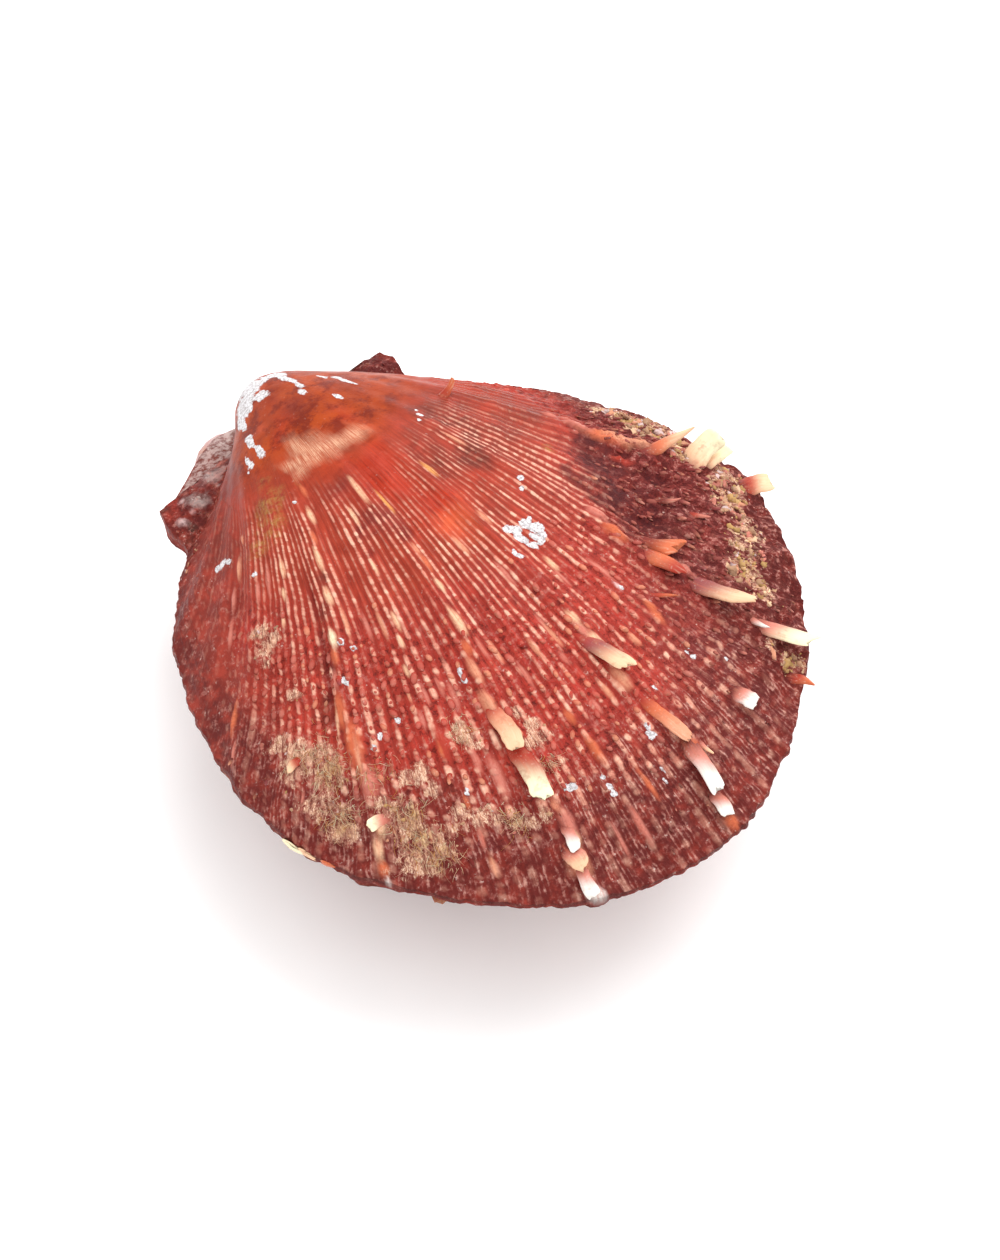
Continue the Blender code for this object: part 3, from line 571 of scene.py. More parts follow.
def upper_surface(points, fan, count, growth):
    """Relief of the upper valve in millimetres, its masks by name and its colours by name."""
    from_tip = np.minimum(fan, 1 - fan)
    on_disc = ramp(from_tip, 0.04, 0.10)
    line = riblet_line(count, growth, RIBLETS, 2)
    number = np.round(line)
    crest = riblet_crest(line)
    dash, share = dashes(number, bead_steps(growth))
    broad, knobbly = cloud(points, 9.0, 4), cloud(points, 1.0, 14, 3)
    wander = wandering(points, 1.6)

    lined = window(growth, 0.35, 0.46, 0.97, 1.05) * on_disc
    beaded = ramp(growth, 0.58, 0.68)
    crusted = patches(UPPER, points, CRUSTED, wander, 1.3)
    ears = 1 - ramp(from_tip, 0.035, 0.075)
    worn = (1 - ramp(growth + 0.12 * (broad - 0.5), 0.27, 0.37)) * on_disc
    chips = patches(UPPER, points, CHIPS, 1 + 1.3 * (cloud(points, 0.7, 43, 3) - 0.5), 0.9)
    flank = 1 - ramp(fan + 0.05 * (broad - 0.5) - 0.05 * ramp(growth, 0.66, 0.84), 0.12, 0.23)
    right = window(fan + 0.04 * (broad - 0.5), 0.53, 0.68, 0.80, 0.88) * ramp(growth, 0.60, 0.74)
    rough = np.clip(right + 0.35 * ramp(growth, 0.86, 0.95) * (1 - flank), 0, 1) * on_disc
    flaming = patches(UPPER, points, [row[:3] for row in GROUND if row[3] in ("flame", "ember")], wander, 1.3)

    ground = mixed(TONES["rust"], TONES["brick"], ramp(growth + 0.1 * (broad - 0.5), 0.28, 0.38))
    ground = mixed(ground, TONES["crimson"], ramp(growth + 0.1 * (broad - 0.5), 0.52, 0.64) * 0.8)
    ground = mixed(ground, TONES["liver"], 0.8 * flank)
    ground = mixed(ground, TONES["plum"], 0.9 * right)
    ground = tinted(UPPER, points, ground, GROUND, wander)
    ground = ground * (0.72 + 0.56 * cloud(points, 3.4, 44, 3))[..., None]
    outer = ramp(growth + 0.08 * (broad - 0.5) + 0.03 * (wander - 1), 0.80, 0.93)
    ground = mixed(ground, TONES["maroon"], 0.9 * outer)
    blotchy = ramp(cloud(points, 1.8, 46, 3), 0.40, 0.62)
    ground = mixed(ground, mixed(TONES["maroon"], TONES["liver"], blotchy * (fan < 0.5)), ears)
    ground = tinted(UPPER, points, ground, EAR_PATCHES, wander * (0.5 + 1.8 * cloud(points, 0.7, 47, 3)))
    marks, strength, swelling = marked(UPPER, fan, growth, 1 + 0.5 * (cloud(points, 1.2, 18, 2) - 0.5), MARKS)
    # Painted shade: the maroon and blood patches of the valley on the right, laid on again in the shader as a dark
    # coat.
    shaded = patches(UPPER, points, [row[:3] for row in GROUND if row[3] in ("maroon", "blood")], wander, 1.3)
    shaded = shaded * ramp(fan, 0.50, 0.62)

    outermost = ramp(growth, 0.84, 0.93)
    plain = 1 - flank
    relief = rib_relief(fan, growth)
    relief = relief + lined * plain * (1 - 0.7 * rough) * RIBLET_RISE * (0.35 + 0.65 * growth) * (crest - 0.5)
    relief = relief + lined * plain * beaded * (1 - 0.8 * outermost) * BEAD_RISE * crest * dash * (0.3 + share)
    relief = relief + on_disc * (KNOB_RISE * beaded * plain + ROUGH_KNOB_RISE * rough) * (knobbly - 0.5)
    lumpy = ROUGH_LUMP_RISE * rough + OUTER_LUMP_RISE * outermost
    relief = relief + on_disc * lumpy * (cloud(points, 2.4, 16, 2) - 0.5)
    relief = relief - VALLEY_DEPTH * shaded * right + swelling
    relief = relief + RIGHT_EAR_RISE * ramp(fan, 0.955, 0.985) * ramp(growth, 0.55, 0.85)
    crumbly = CRUST_RISE * (cloud(points, 0.9, 9, 3) - 0.4) + CRUST_SWELL * (cloud(points, 2.6, 19) - 0.4)
    relief = relief + crusted * crumbly
    relief = relief + ears * ramp(growth, 0.45, 0.6) * EAR_LUMP_RISE * (cloud(points, 1.2, 10, 3) - 0.5)
    relief = relief + SWELL * (cloud(points, 6.0, 12) - 0.5) * ramp(growth, 0.2, 0.5)
    for k, ring in enumerate(GROWTH_STAGES):
        edge = ring + 0.02 * (cloud(np.stack([count * 0.9, 0 * count], -1), 1.0, 20 + k) - 0.5)
        relief = relief + STAGE_RISE * window(growth, edge - 0.03, edge, edge, edge + 0.004) * on_disc
    relief = relief + CHIP_RISE * ramp(chips, 0.3, 0.8)
    groove = window(fan, 0.274, 0.281, 0.283, 0.290) * window(growth, 0.50, 0.58, 0.74, 0.80)
    relief = relief - GROOVE_DEPTH * groove
    # Painted shade: the groove's dark red stands for the shadow under the rib's overhanging edge.
    ground = mixed(ground, TONES["blood"], 0.7 * groove)

    middle = window(fan, 0.16, 0.28, 0.60, 0.78)
    clear = (0.12 + 0.88 * middle) * (1 - 0.65 * rough) * (0.45 + 1.0 * cloud(points, 4.0, 17, 3))
    clear = clear * (1 - 0.7 * worn) * (1 - 0.75 * flaming) * (1 - 0.55 * outermost) * (1 - 0.8 * shaded)
    return relief, {
        "line": line,
        "lined": lined * (1 - 0.75 * rough) * (1 - 0.45 * flaming * (1 - ramp(growth, 0.50, 0.58))),
        "clear": np.clip(clear, 0, 1),
        "plain": flank,
        "worn": worn,
        "rough": np.maximum(rough * (1 - 0.5 * shaded), 0.7 * ears),
        "shaded": shaded * ramp(growth, 0.5, 0.62),
        "crusted": crusted,
        "mossy": patches(UPPER, points, MOSSY, wander, 1.3),
        "chalky": chips,
        "stained": patches(UPPER, points, STAINS, wander, 1.2),
        "tanned": patches(UPPER, points, TAN_STREAK, wandering(points, 1.2), 1.9),
        "marked": strength,
    }, {"ground": ground, "marks": marks}


def lower_surface(points, fan, count, growth):
    """Relief of the lower valve in millimetres, its masks by name and its colours by name."""
    from_tip = np.minimum(fan, 1 - fan)
    on_disc = ramp(from_tip, 0.04, 0.10)
    line = riblet_line(count, growth, RIBLETS * 0.5, 32)
    crest = riblet_crest(line)
    ragged = cloud(np.stack([count * 4.0, growth * 3], -1), 1.0, 33, 3)
    wave = (growth * 7.5 + 0.35 * (ragged - 0.5)) % 1.0
    bumpy = cloud(points, 1.3, 34, 3)
    grown = np.clip((growth - 0.3) / 0.4, 0, 1)
    leafy = 0.9 * wave**1.5 * (0.65 + 0.7 * ragged) * grown * np.sin(math.pi * np.clip(fan, 0, 1)) ** 0.5
    relief = rib_relief(fan, growth) + leafy
    relief = relief + 0.22 * on_disc * grown * (crest - 0.5) + 0.5 * (bumpy - 0.5) * grown
    edge = ramp(wave, 0.78, 0.97) * grown
    scarred = ramp(points[..., 2] + 1.5 * (cloud(points, 4.0, 37, 3) - 0.5), 24.6, 25.6)

    ground = mixed(TONES["plum"], TONES["liver"], ramp(cloud(points, 7.0, 38, 3), 0.35, 0.65))
    ground = mixed(ground, TONES["pink"], 0.7 * edge * ramp(ragged, 0.3, 0.7))
    ground = mixed(ground, TONES["maroon"], 0.5 * (1 - ramp(wave, 0.0, 0.25)) * grown)
    mottled = ramp(cloud(points, 1.1, 48, 3), 0.40, 0.60)
    beak = mixed(TONES["liver"], TONES["ash"], mottled)
    beak = mixed(beak, TONES["blush"], 1 - ramp(growth, 0.06, 0.14))
    ground = mixed(ground, beak, 0.9 * (1 - ramp(growth + 0.1 * (bumpy - 0.5), 0.20, 0.36)))
    ground = mixed(ground, TONES["grey"], 0.8 * scarred)
    none = 0 * fan
    return relief, {
        "line": line,
        "lined": grown * on_disc * (1 - scarred),
        "clear": 0.5 + none,
        "plain": none,
        "worn": none,
        "rough": 0.7 * grown,
        "shaded": none,
        "crusted": np.clip(2.2 * (cloud(points, 8.0, 36, 3) - 0.5), 0, 1),
        "mossy": ramp(cloud(points, 5.0, 39, 3), 0.55, 0.75),
        "chalky": np.clip(4.0 * (cloud(points, 5.0, 35, 3) - 0.62), 0, 0.8) + 0.45 * scarred,
        "stained": none,
        "tanned": none,
        "marked": none,
    }, {"ground": ground, "marks": ground}


# ---------------------------------------------------------------- making a valve

# Faces of each valve's mesh: across the ribs, along them, and across the hinge's face.
UPPER_GRID, LOWER_GRID = (648, 138, 16), (432, 150, 24)

# The finished outside of each valve by its CAD node's name, for what sits on it.
SKINS = {}


class Skin:
    """The finished outside of a valve, on which small things sit."""

    def __init__(self, points, count, growth, masks, ground):
        self.points, self.count, self.growth, self.masks, self.ground = points, count, growth, masks, ground

    def blend(self, values, count, growth):
        across = np.clip(np.interp(count, self.count, np.arange(len(self.count))), 0, len(self.count) - 1.001)
        down = np.clip(np.interp(growth, self.growth, np.arange(len(self.growth))), 0, len(self.growth) - 1.001)
        i, j = down.astype(int), across.astype(int)
        s, t = down - i, across - j
        if values.ndim == 3:
            s, t = s[:, None], t[:, None]
        near = values[i, j] * (1 - t) + values[i, j + 1] * t
        return near * (1 - s) + (values[i + 1, j] * (1 - t) + values[i + 1, j + 1] * t) * s

    def seats(self, count, growth):
        """Points on the skin, with the ways across the ribs, along them and out of the shell."""
        here = self.blend(self.points, count, growth)
        along_rib = self.blend(self.points, count, growth + 0.012) - self.blend(self.points, count, growth - 0.012)
        across = self.blend(self.points, count + 0.06, growth) - self.blend(self.points, count - 0.06, growth)
        along_rib /= np.linalg.norm(along_rib, axis=1, keepdims=True)
        out = np.cross(along_rib, across)
        side = 1 if np.mean(out[:, 2]) * (np.mean(here[:, 2]) - HINGE[2] * MM) > 0 else -1
        out *= side / np.linalg.norm(out, axis=1, keepdims=True)
        return here, np.cross(along_rib, out), along_rib, out

    def mask(self, name, count, growth):
        return self.blend(self.masks[name], count, growth)

    def tone(self, count, growth):
        return self.blend(self.ground, count, growth)


def clear_selection():
    if bpy.context.object and bpy.context.object.mode != "OBJECT":
        bpy.ops.object.mode_set(mode="OBJECT")
    bpy.ops.object.select_all(action="DESELECT")


def take(obj):
    """Selects one object alone."""
    clear_selection()
    obj.select_set(True)
    bpy.context.view_layer.objects.active = obj
    return obj


def added(name):
    """The primitive just added, under its own name."""
    obj = bpy.context.object
    obj.name = obj.data.name = name
    return obj


def coordinates(mesh):
    flat = np.empty(len(mesh.vertices) * 3, np.float32)
    mesh.vertices.foreach_get("co", flat)
    return flat.reshape(-1, 3).astype(float)


def place_vertices(mesh, points):
    mesh.vertices.foreach_set("co", np.ascontiguousarray(points, np.float32).ravel())
    mesh.update()


def give_mask(mesh, name, values):
    layer = mesh.attributes.new(name, "FLOAT", "POINT")
    layer.data.foreach_set("value", np.ascontiguousarray(values, np.float32).ravel())


def give_colour(mesh, name, values):
    layer = mesh.attributes.new(name, "FLOAT_COLOR", "POINT")
    full = np.column_stack([values, np.ones(len(values))])
    layer.data.foreach_set("color", np.ascontiguousarray(full, np.float32).ravel())


def face_outwards():
    """Turns the faces of the active piece outwards."""
    bpy.ops.object.mode_set(mode="EDIT")
    bpy.ops.mesh.select_all(action="SELECT")
    bpy.ops.mesh.normals_make_consistent(inside=False)
    bpy.ops.object.mode_set(mode="OBJECT")


def hollow_rows(mouth_row, outside):
    """Rings (across, forward, rise) of the hollow, from its mouth in the seam to the top of its roof."""
    height, width = outside.shape[:2]
    corners = [i * width + j for i in range(height - 1) for j in range(width - 1)]
    faces = [(k, k + 1, k + width + 1, k + width) for k in corners]
    tree = BVHTree.FromPolygons([Vector(p) for p in outside.reshape(-1, 3)], faces)
    spokes = mouth_row[:, :2] - HOLLOW_MIDDLE
    mouth = HOLLOW_MIDDLE + spokes * (1 - LIP / np.linalg.norm(spokes, axis=1, keepdims=True))
    mouth[:, 1] = np.maximum(mouth[:, 1], HINGE_PLATE)
    rows = [np.column_stack([mouth, np.full(len(mouth), SEAM_GAP)])]
    for share in HOLLOW_RINGS + [0.0]:
        ring = HOLLOW_MIDDLE + (mouth - HOLLOW_MIDDLE) * share
        roof = []
        for a, f in ring:
            hit = tree.ray_cast(Vector((a, f, 100)), Vector((0, 0, -1)))[0]
            roof.append(max(SEAM_GAP + 0.4, (hit.z - WALL) * (1 - share**6)))
        rows.append(np.column_stack([ring, roof]))
    return rows


def hinge_face(rows, columns):
    """The flat triangle between the two ears, with its growth lines and the ligament's groove in the middle."""
    share = np.linspace(0, 1, columns + 1)[None, 1:, None]
    face = rows[:, -1:] * (1 - share) + rows[:, :1] * share
    back = rows[:, :1] - rows[:, -1:]
    wide = np.linalg.norm(back, axis=2, keepdims=True)
    groove = np.exp(-(((share - 0.5) * wide / 1.6) ** 2)) * ramp(wide, 2, 8)
    edge = 4 * share * (1 - share)
    level = np.arange(len(rows))[:, None, None]
    lines = 0.12 * np.sin(level * 1.1) * edge * ramp(wide, 2, 8)
    face[..., 1:2] += 0.9 * groove * edge + lines
    return face


def ragged_rim(smooth, normals, count, fan, growth):
    """Small sideways shifts that make the margin finely ragged."""
    fine = cloud(np.stack([count * RIBLETS * 2.2, 0 * count], -1), 1.0, 41) - 0.4
    coarse = cloud(np.stack([count * RIBLETS * 0.5, 0 * count], -1), 1.0, 42) - 0.5
    amount = ramp(growth, 0.965, 1.0) * (0.75 * fine + 0.6 * coarse) * ramp(np.minimum(fan, 1 - fan), 0.0, 0.03)
    sideways = normals * np.array([1, 1, 0])
    sideways /= np.maximum(np.linalg.norm(sideways, axis=2, keepdims=True), 1e-6)
    return sideways * amount[..., None]


def valve(shape, surface, columns, rows, hinge_columns, name):
    """A closed valve wrapped from one sheet: the outside, the hinge's face, the rim, the seam face and the hollow."""
    count = np.linspace(0, len(STRONG_RIBS) - 1, columns + 1)
    fan = fan_at(count)
    growth = np.interp(np.linspace(0, 1, rows + 1), [0, 0.13, 1], [0.0, 0.30, 1.0])
    smooth = smooth_outside(shape, fan, growth)
    wide_fan, wide_growth = np.meshgrid(fan, growth)
    wide_count = np.meshgrid(count, growth)[0]
    relief, masks, colours = surface(smooth, wide_fan, wide_count, wide_growth)
    normals = outward(smooth)
    outside = smooth + normals * (relief * ramp(wide_growth, 0.0, 0.03))[..., None]
    outside = outside + ragged_rim(smooth, normals, wide_count, wide_fan, wide_growth)
    outside[..., 2] = np.clip(outside[..., 2], SEAM_GAP + 0.25, shape.deepest)
    smooth[..., 2] = np.minimum(smooth[..., 2], shape.deepest)
    outside = np.concatenate([outside, hinge_face(outside, hinge_columns)], axis=1)
    skin = Skin(in_frame(shape, outside[:, : columns + 1]), count, growth, masks, colours["ground"])
    SKINS[shape.name] = skin

    seam = outside[-1].copy()
    seam[:, 2] = SEAM_GAP
    step = max(1, columns // 84)
    inner = hollow_rows(seam, smooth[2::5, ::step])
    sheet = np.concatenate([outside, [seam], inner])
    tall, broad = sheet.shape[:2]

    clear_selection()
    bpy.ops.mesh.primitive_grid_add(x_subdivisions=broad - 1, y_subdivisions=tall - 1, size=1, calc_uvs=True)
    obj = added(name)
    mesh = obj.data
    flat = coordinates(mesh)
    across = np.rint((flat[:, 0] + 0.5) * (broad - 1)).astype(int)
    down = np.rint((flat[:, 1] + 0.5) * (tall - 1)).astype(int)
    place_vertices(mesh, in_frame(shape, sheet[down, across]))

    uv = mesh.uv_layers.active.data
    corners = np.empty(len(uv) * 2, np.float32)
    uv.foreach_get("uv", corners)
    corners = corners.reshape(-1, 2)
    corners[:, 0] *= (broad - 1) / columns
    levels = np.concatenate([growth, 1.02 + 0.02 * np.arange(tall - rows - 1)])
    corners[:, 1] = np.interp(corners[:, 1] * (tall - 1), np.arange(tall), levels)
    uv.foreach_set("uv", corners.ravel())

    for key, values in masks.items():
        full = np.zeros((tall, broad))
        full[: rows + 1, : columns + 1] = values
        full[:, -1] = full[:, 0]
        give_mask(mesh, key, full[down, across])
    for key, values in colours.items():
        full = np.zeros((tall, broad, 3))
        full[: rows + 1, : columns + 1] = values
        full[rows + 1 :] = full[rows]
        full[:, columns + 1 :] = full[:, :1]
        give_colour(mesh, key, full[down, across])
    inside, hinge = np.zeros((tall, broad)), np.zeros((tall, broad))
    inside[rows + 2 :] = 1
    hinge[: rows + 1, columns + 1 : -1] = 1.0 if shape.side > 0 else 0.75
    give_mask(mesh, "inside", inside[down, across])
    give_mask(mesh, "hinge", hinge[down, across])

    take(obj)
    bpy.ops.object.mode_set(mode="EDIT")
    bpy.ops.mesh.select_all(action="SELECT")
    bpy.ops.mesh.remove_doubles(threshold=2e-6)
    bpy.ops.mesh.dissolve_degenerate(threshold=1e-6)
    bpy.ops.object.mode_set(mode="OBJECT")
    face_outwards()
    bpy.ops.object.shade_smooth_by_angle(angle=math.radians(60))
    return obj


# ---------------------------------------------------------------- spines

# A spine is drawn out of a disc through these places, from its root, sunk in the shell, to its tip.
SPINE_PLACES = [-0.38, -0.24, -0.10, 0.05, 0.20, 0.35, 0.50, 0.64, 0.78, 0.89, 0.97, 1.0]
SPINE_WIDTHS = {
    "plate": [0.55, 0.78, 0.90, 0.94, 0.94, 0.95, 0.98, 1.0, 0.99, 0.94, 0.86, 0.76],
    "forked": [0.55, 0.78, 0.88, 0.88, 0.84, 0.82, 0.86, 0.95, 1.04, 1.06, 0.98, 0.88],
    "scale": [0.50, 0.74, 0.90, 0.98, 1.0, 1.0, 0.97, 0.90, 0.78, 0.60, 0.40, 0.20],
    "thorn": [0.70, 0.92, 1.02, 0.98, 0.88, 0.76, 0.64, 0.52, 0.40, 0.28, 0.18, 0.08],
}
SPINE_HEIGHTS = {
    "plate": [0.60, 0.85, 1.0, 1.02, 0.98, 0.90, 0.78, 0.66, 0.54, 0.44, 0.36, 0.22],
    "forked": [0.60, 0.85, 1.0, 1.02, 0.98, 0.92, 0.84, 0.76, 0.66, 0.54, 0.44, 0.26],
    "scale": [0.55, 0.80, 0.96, 1.0, 0.98, 0.92, 0.82, 0.70, 0.58, 0.46, 0.32, 0.16],
    "thorn": [0.60, 0.85, 1.0, 1.02, 0.98, 0.90, 0.80, 0.68, 0.54, 0.40, 0.26, 0.12],
}
SPINE_THICKNESS = {"plate": 0.46, "forked": 0.52, "scale": 0.50, "thorn": 0.72}
SPINE_VERTICES, SPINE_START, SPINE_START_WIDTH = 24, -0.5, 0.2
TIP_INSET, TIP_RISE = 0.04, 0.012


def drawn_out(name, vertices, steps, start=0.0, start_width=1.0, tip=None):
    """A piece along +Y, drawn out of a disc: steps are (place, width, thickness), tip is its last inset and rise."""
    clear_selection()
    bpy.ops.mesh.primitive_circle_add(
        vertices=vertices, radius=0.5, fill_type="NGON", location=(0, start, 0), rotation=(math.pi / 2, 0, 0)
    )
    obj = added(name)
    bpy.ops.object.transform_apply(location=True, rotation=True, scale=True)
    bpy.ops.object.mode_set(mode="EDIT")
    bpy.ops.mesh.select_mode(type="FACE")
    bpy.ops.mesh.select_all(action="SELECT")
    bpy.ops.transform.resize(value=(start_width, 1, start_width), center_override=(0, start, 0))
    reach, wide, thick = start, start_width, start_width
    for place, width, height in steps:
        bpy.ops.mesh.extrude_region_move(TRANSFORM_OT_translate={"value": (0, place - reach, 0)})
        bpy.ops.transform.resize(value=(width / wide, 1, height / thick), center_override=(0, place, 0))
        reach, wide, thick = place, width, height
    if tip:
        bpy.ops.mesh.inset(thickness=tip[0])
        bpy.ops.transform.translate(value=(0, tip[1], 0))
    bpy.ops.object.mode_set(mode="OBJECT")
    face_outwards()
    return obj


def spine_pattern(kind):
    """A spine of unit length and width along +Y."""
    steps = zip(SPINE_PLACES, SPINE_WIDTHS[kind], SPINE_HEIGHTS[kind])
    name = f"{kind}_pattern"
    return drawn_out(name, SPINE_VERTICES, steps, SPINE_START, SPINE_START_WIDTH, (TIP_INSET, TIP_RISE))


def spine_axes(shape, fan, growth, swing):
    """Run along the shell, way out of it and the way across, in the shell's frame."""
    rows = smooth_outside(shape, np.array([fan - 0.01, fan, fan + 0.01]), [growth - 0.02, growth, growth + 0.02])
    rows[..., 2] = np.minimum(rows[..., 2], shape.deepest)
    turn = np.array([1, -1, shape.side])
    out = outward(rows)[1, 1] * turn
    rib = (rows[2, 1] - rows[0, 1]) * turn
    out, rib = out / np.linalg.norm(out), rib / np.linalg.norm(rib)
    run = rib * math.cos(swing) + np.cross(out, rib) * math.sin(swing)
    return run, out, np.cross(run, out)


def spine_shape(points, index, shape, row):
    """Sets one spine's pattern on the shell, with its curl, uneven tip and fine lengthwise ridges."""
    fan, growth, length, width, lift, swing, kind, *_ = row
    run, out, across = spine_axes(shape, fan, growth, math.radians(swing))
    count = count_at(fan)
    skin = SKINS[shape.name]
    near = [skin.blend(skin.points, np.array([count + step]), np.array([growth]))[0] for step in (-0.02, 0, 0.02)]
    root = np.mean(near, axis=0)
    x, y, z = points.T
    share = np.clip(y, 0, 1)
    chance = dice(index, 1), dice(index, 2), dice(index, 3)
    uneven = 0.24 * (cloud(np.column_stack([x * 6, 0 * x]), 1.0, 50 + index) - 0.5)
    slant = (chance[0] - 0.5) * 0.5 * x if kind in ("plate", "forked") else 0 * x
    notch = 0.21 * np.exp(-(((x - 0.1) / 0.15) ** 2)) if kind == "forked" else 0 * x
    y = y - ramp(share, 0.5, 1.0) * (notch - slant - uneven)
    x = x * (1 + 0.30 * (cloud(np.column_stack([share * 4, 0 * x]), 1.0, 60 + index) - 0.5))
    x = x + 0.35 * (chance[1] - 0.5) * share * (1 - share) * 4
    thickness = SPINE_THICKNESS[kind]
    ridges = 0.03 * np.cos(x * 20 + 6 * chance[2])
    z = np.where(z < 0, 0.55 * z, z * (1 + ridges)) * thickness
    z = z + 0.05 * (cloud(np.column_stack([x * 3, share * 3]), 1.0, 70 + index) - 0.5)
    z = z - 0.30 * thickness * (1 - ramp(y, -0.15, 0.5))
    lean = math.radians(lift) * (0.55 + 0.75 * share)
    forwards = run * np.cos(lean)[:, None] + out * np.sin(lean)[:, None]
    upwards = out * np.cos(lean)[:, None] - run * np.sin(lean)[:, None]
    return root + MM * (length * y[:, None] * forwards + width * x[:, None] * across + width * z[:, None] * upwards)


def spines(shape, rows, name):
    """All the spines of a valve as one piece."""
    patterns = {kind: spine_pattern(kind) for kind in sorted({row[6] for row in rows})}
    skin = SKINS[shape.name]
    copies = []
    for index, row in enumerate(rows):
        copy = bpy.data.objects.new(f"{name}_{index}", patterns[row[6]].data.copy())
        bpy.context.scene.collection.objects.link(copy)
        flat = coordinates(copy.data)
        place_vertices(copy.data, spine_shape(flat, index, shape, row))
        count = count_at([row[0]])
        shell = skin.tone(count, np.array([row[1]]))[0]
        tone = mixed(shell, TONES[row[7]], ramp(flat[:, 1], -0.30, 0.22))
        tone = mixed(tone, TONES[row[8]], ramp(flat[:, 1] + 0.3 * flat[:, 0], 0.10, 0.80))
        give_mask(copy.data, "reach", np.clip(flat[:, 1], -0.5, 1))
        give_mask(copy.data, "side", flat[:, 0] + 3.7 * index)
        give_colour(copy.data, "tone", tone)
        copies.append(copy)
    for pattern in patterns.values():
        bpy.data.objects.remove(pattern)
    take(copies[0])
    for copy in copies:
        copy.select_set(True)
    bpy.ops.object.join()
    obj = added(name)
    face_outwards()
    bpy.ops.object.shade_smooth_by_angle(angle=math.radians(50))
    return obj


# ---------------------------------------------------------------- beads, scales, crumbs and fibres


def bead_pattern():
    """A small dome with a steep front."""
    clear_selection()
    bpy.ops.mesh.primitive_uv_sphere_add(segments=8, ring_count=5, radius=0.5, rotation=(math.pi / 2, 0, 0))
    obj = added("bead_pattern")
    bpy.ops.object.transform_apply(location=True, rotation=True, scale=True)
    points = coordinates(obj.data)
    points[:, 2] *= 0.75 + 0.5 * ramp(points[:, 1], -0.4, 0.4)
    points[:, 1] += 0.16 * points[:, 2]
    place_vertices(obj.data, points)
    return obj


def crumb_pattern():
    """A small lump."""
    clear_selection()
    bpy.ops.mesh.primitive_uv_sphere_add(segments=8, ring_count=6, radius=0.5)
    obj = added("crumb_pattern")
    points = coordinates(obj.data)
    place_vertices(obj.data, points * (0.25 + 1.5 * cloud(points, 0.34, 81)[:, None]))
    return obj


def scatter(pattern, seats, sizes, roots, tips, share, name, bend=None):
    """Copies of a small pattern as one piece: sizes are (across, along, out), tones go from roots to tips by share."""
    here, across, forwards, out = seats
    flat = coordinates(pattern.data)
    sized = flat[None] * sizes[:, None, :] * MM
    if bend is not None:
        sized[..., 0] += (bend[:, None] * flat[None, :, 1] ** 2) * sizes[:, None, 1] * MM
        sized[..., 2] += 0.12 * np.sin(math.pi * flat[None, :, 1]) * sizes[:, None, 1] * MM
    points = here[:, None] + sized[..., :1] * across[:, None]
    points = points + sized[..., 1:2] * forwards[:, None] + sized[..., 2:] * out[:, None]
    faces = [tuple(face.vertices) for face in pattern.data.polygons]
    copies, corners = len(here), len(flat)
    mesh = bpy.data.meshes.new(name)
    every = [tuple(v + corners * k for v in face) for k in range(copies) for face in faces]
    mesh.from_pydata(points.reshape(-1, 3).tolist(), [], every)
    tones = roots[:, None] + (tips - roots)[:, None] * share[None, :, None]
    give_colour(mesh, "tone", tones.reshape(-1, 3))
    give_mask(mesh, "reach", np.ones(copies * corners))
    give_mask(mesh, "side", np.repeat(np.arange(copies) * 0.37, corners))
    obj = bpy.data.objects.new(name, mesh)
    bpy.context.scene.collection.objects.link(obj)
    bpy.data.objects.remove(pattern)
    take(obj)
    face_outwards()
    bpy.ops.object.shade_smooth()
    return obj


def turned(seats, yaw, lift=None):
    """The same seats, each turned about its way out and then tipped up at its front."""
    here, across, forwards, out = seats
    c, s = np.cos(yaw)[:, None], np.sin(yaw)[:, None]
    across, forwards = across * c + forwards * s, forwards * c - across * s
    if lift is not None:
        c, s = np.cos(lift)[:, None], np.sin(lift)[:, None]
        forwards, out = forwards * c + out * s, out * c - forwards * s
    return here, across, forwards, out


def sunk(seats, depths):
    here, across, forwards, out = seats
    return here - out * depths[:, None] * MM, across, forwards, out


def tone_mix(names, chance):
    """A tone for each chance value, spread evenly over the names."""
    table = np.array([TONES[name] for name in names])
    return table[np.minimum((chance * len(names)).astype(int), len(names) - 1)]


def thrown(chance, tries, counts, growths):
    """Random places within bounds, as counts of strong ribs and as growths."""
    return chance.uniform(*counts, tries), chance.uniform(*growths, tries)


# How many places are tried for each kind of small thing. Masks decide which of them are kept.
SCALE_TRIES, CRUMB_TRIES, FIBRE_TRIES = 30000, 55000, 90000


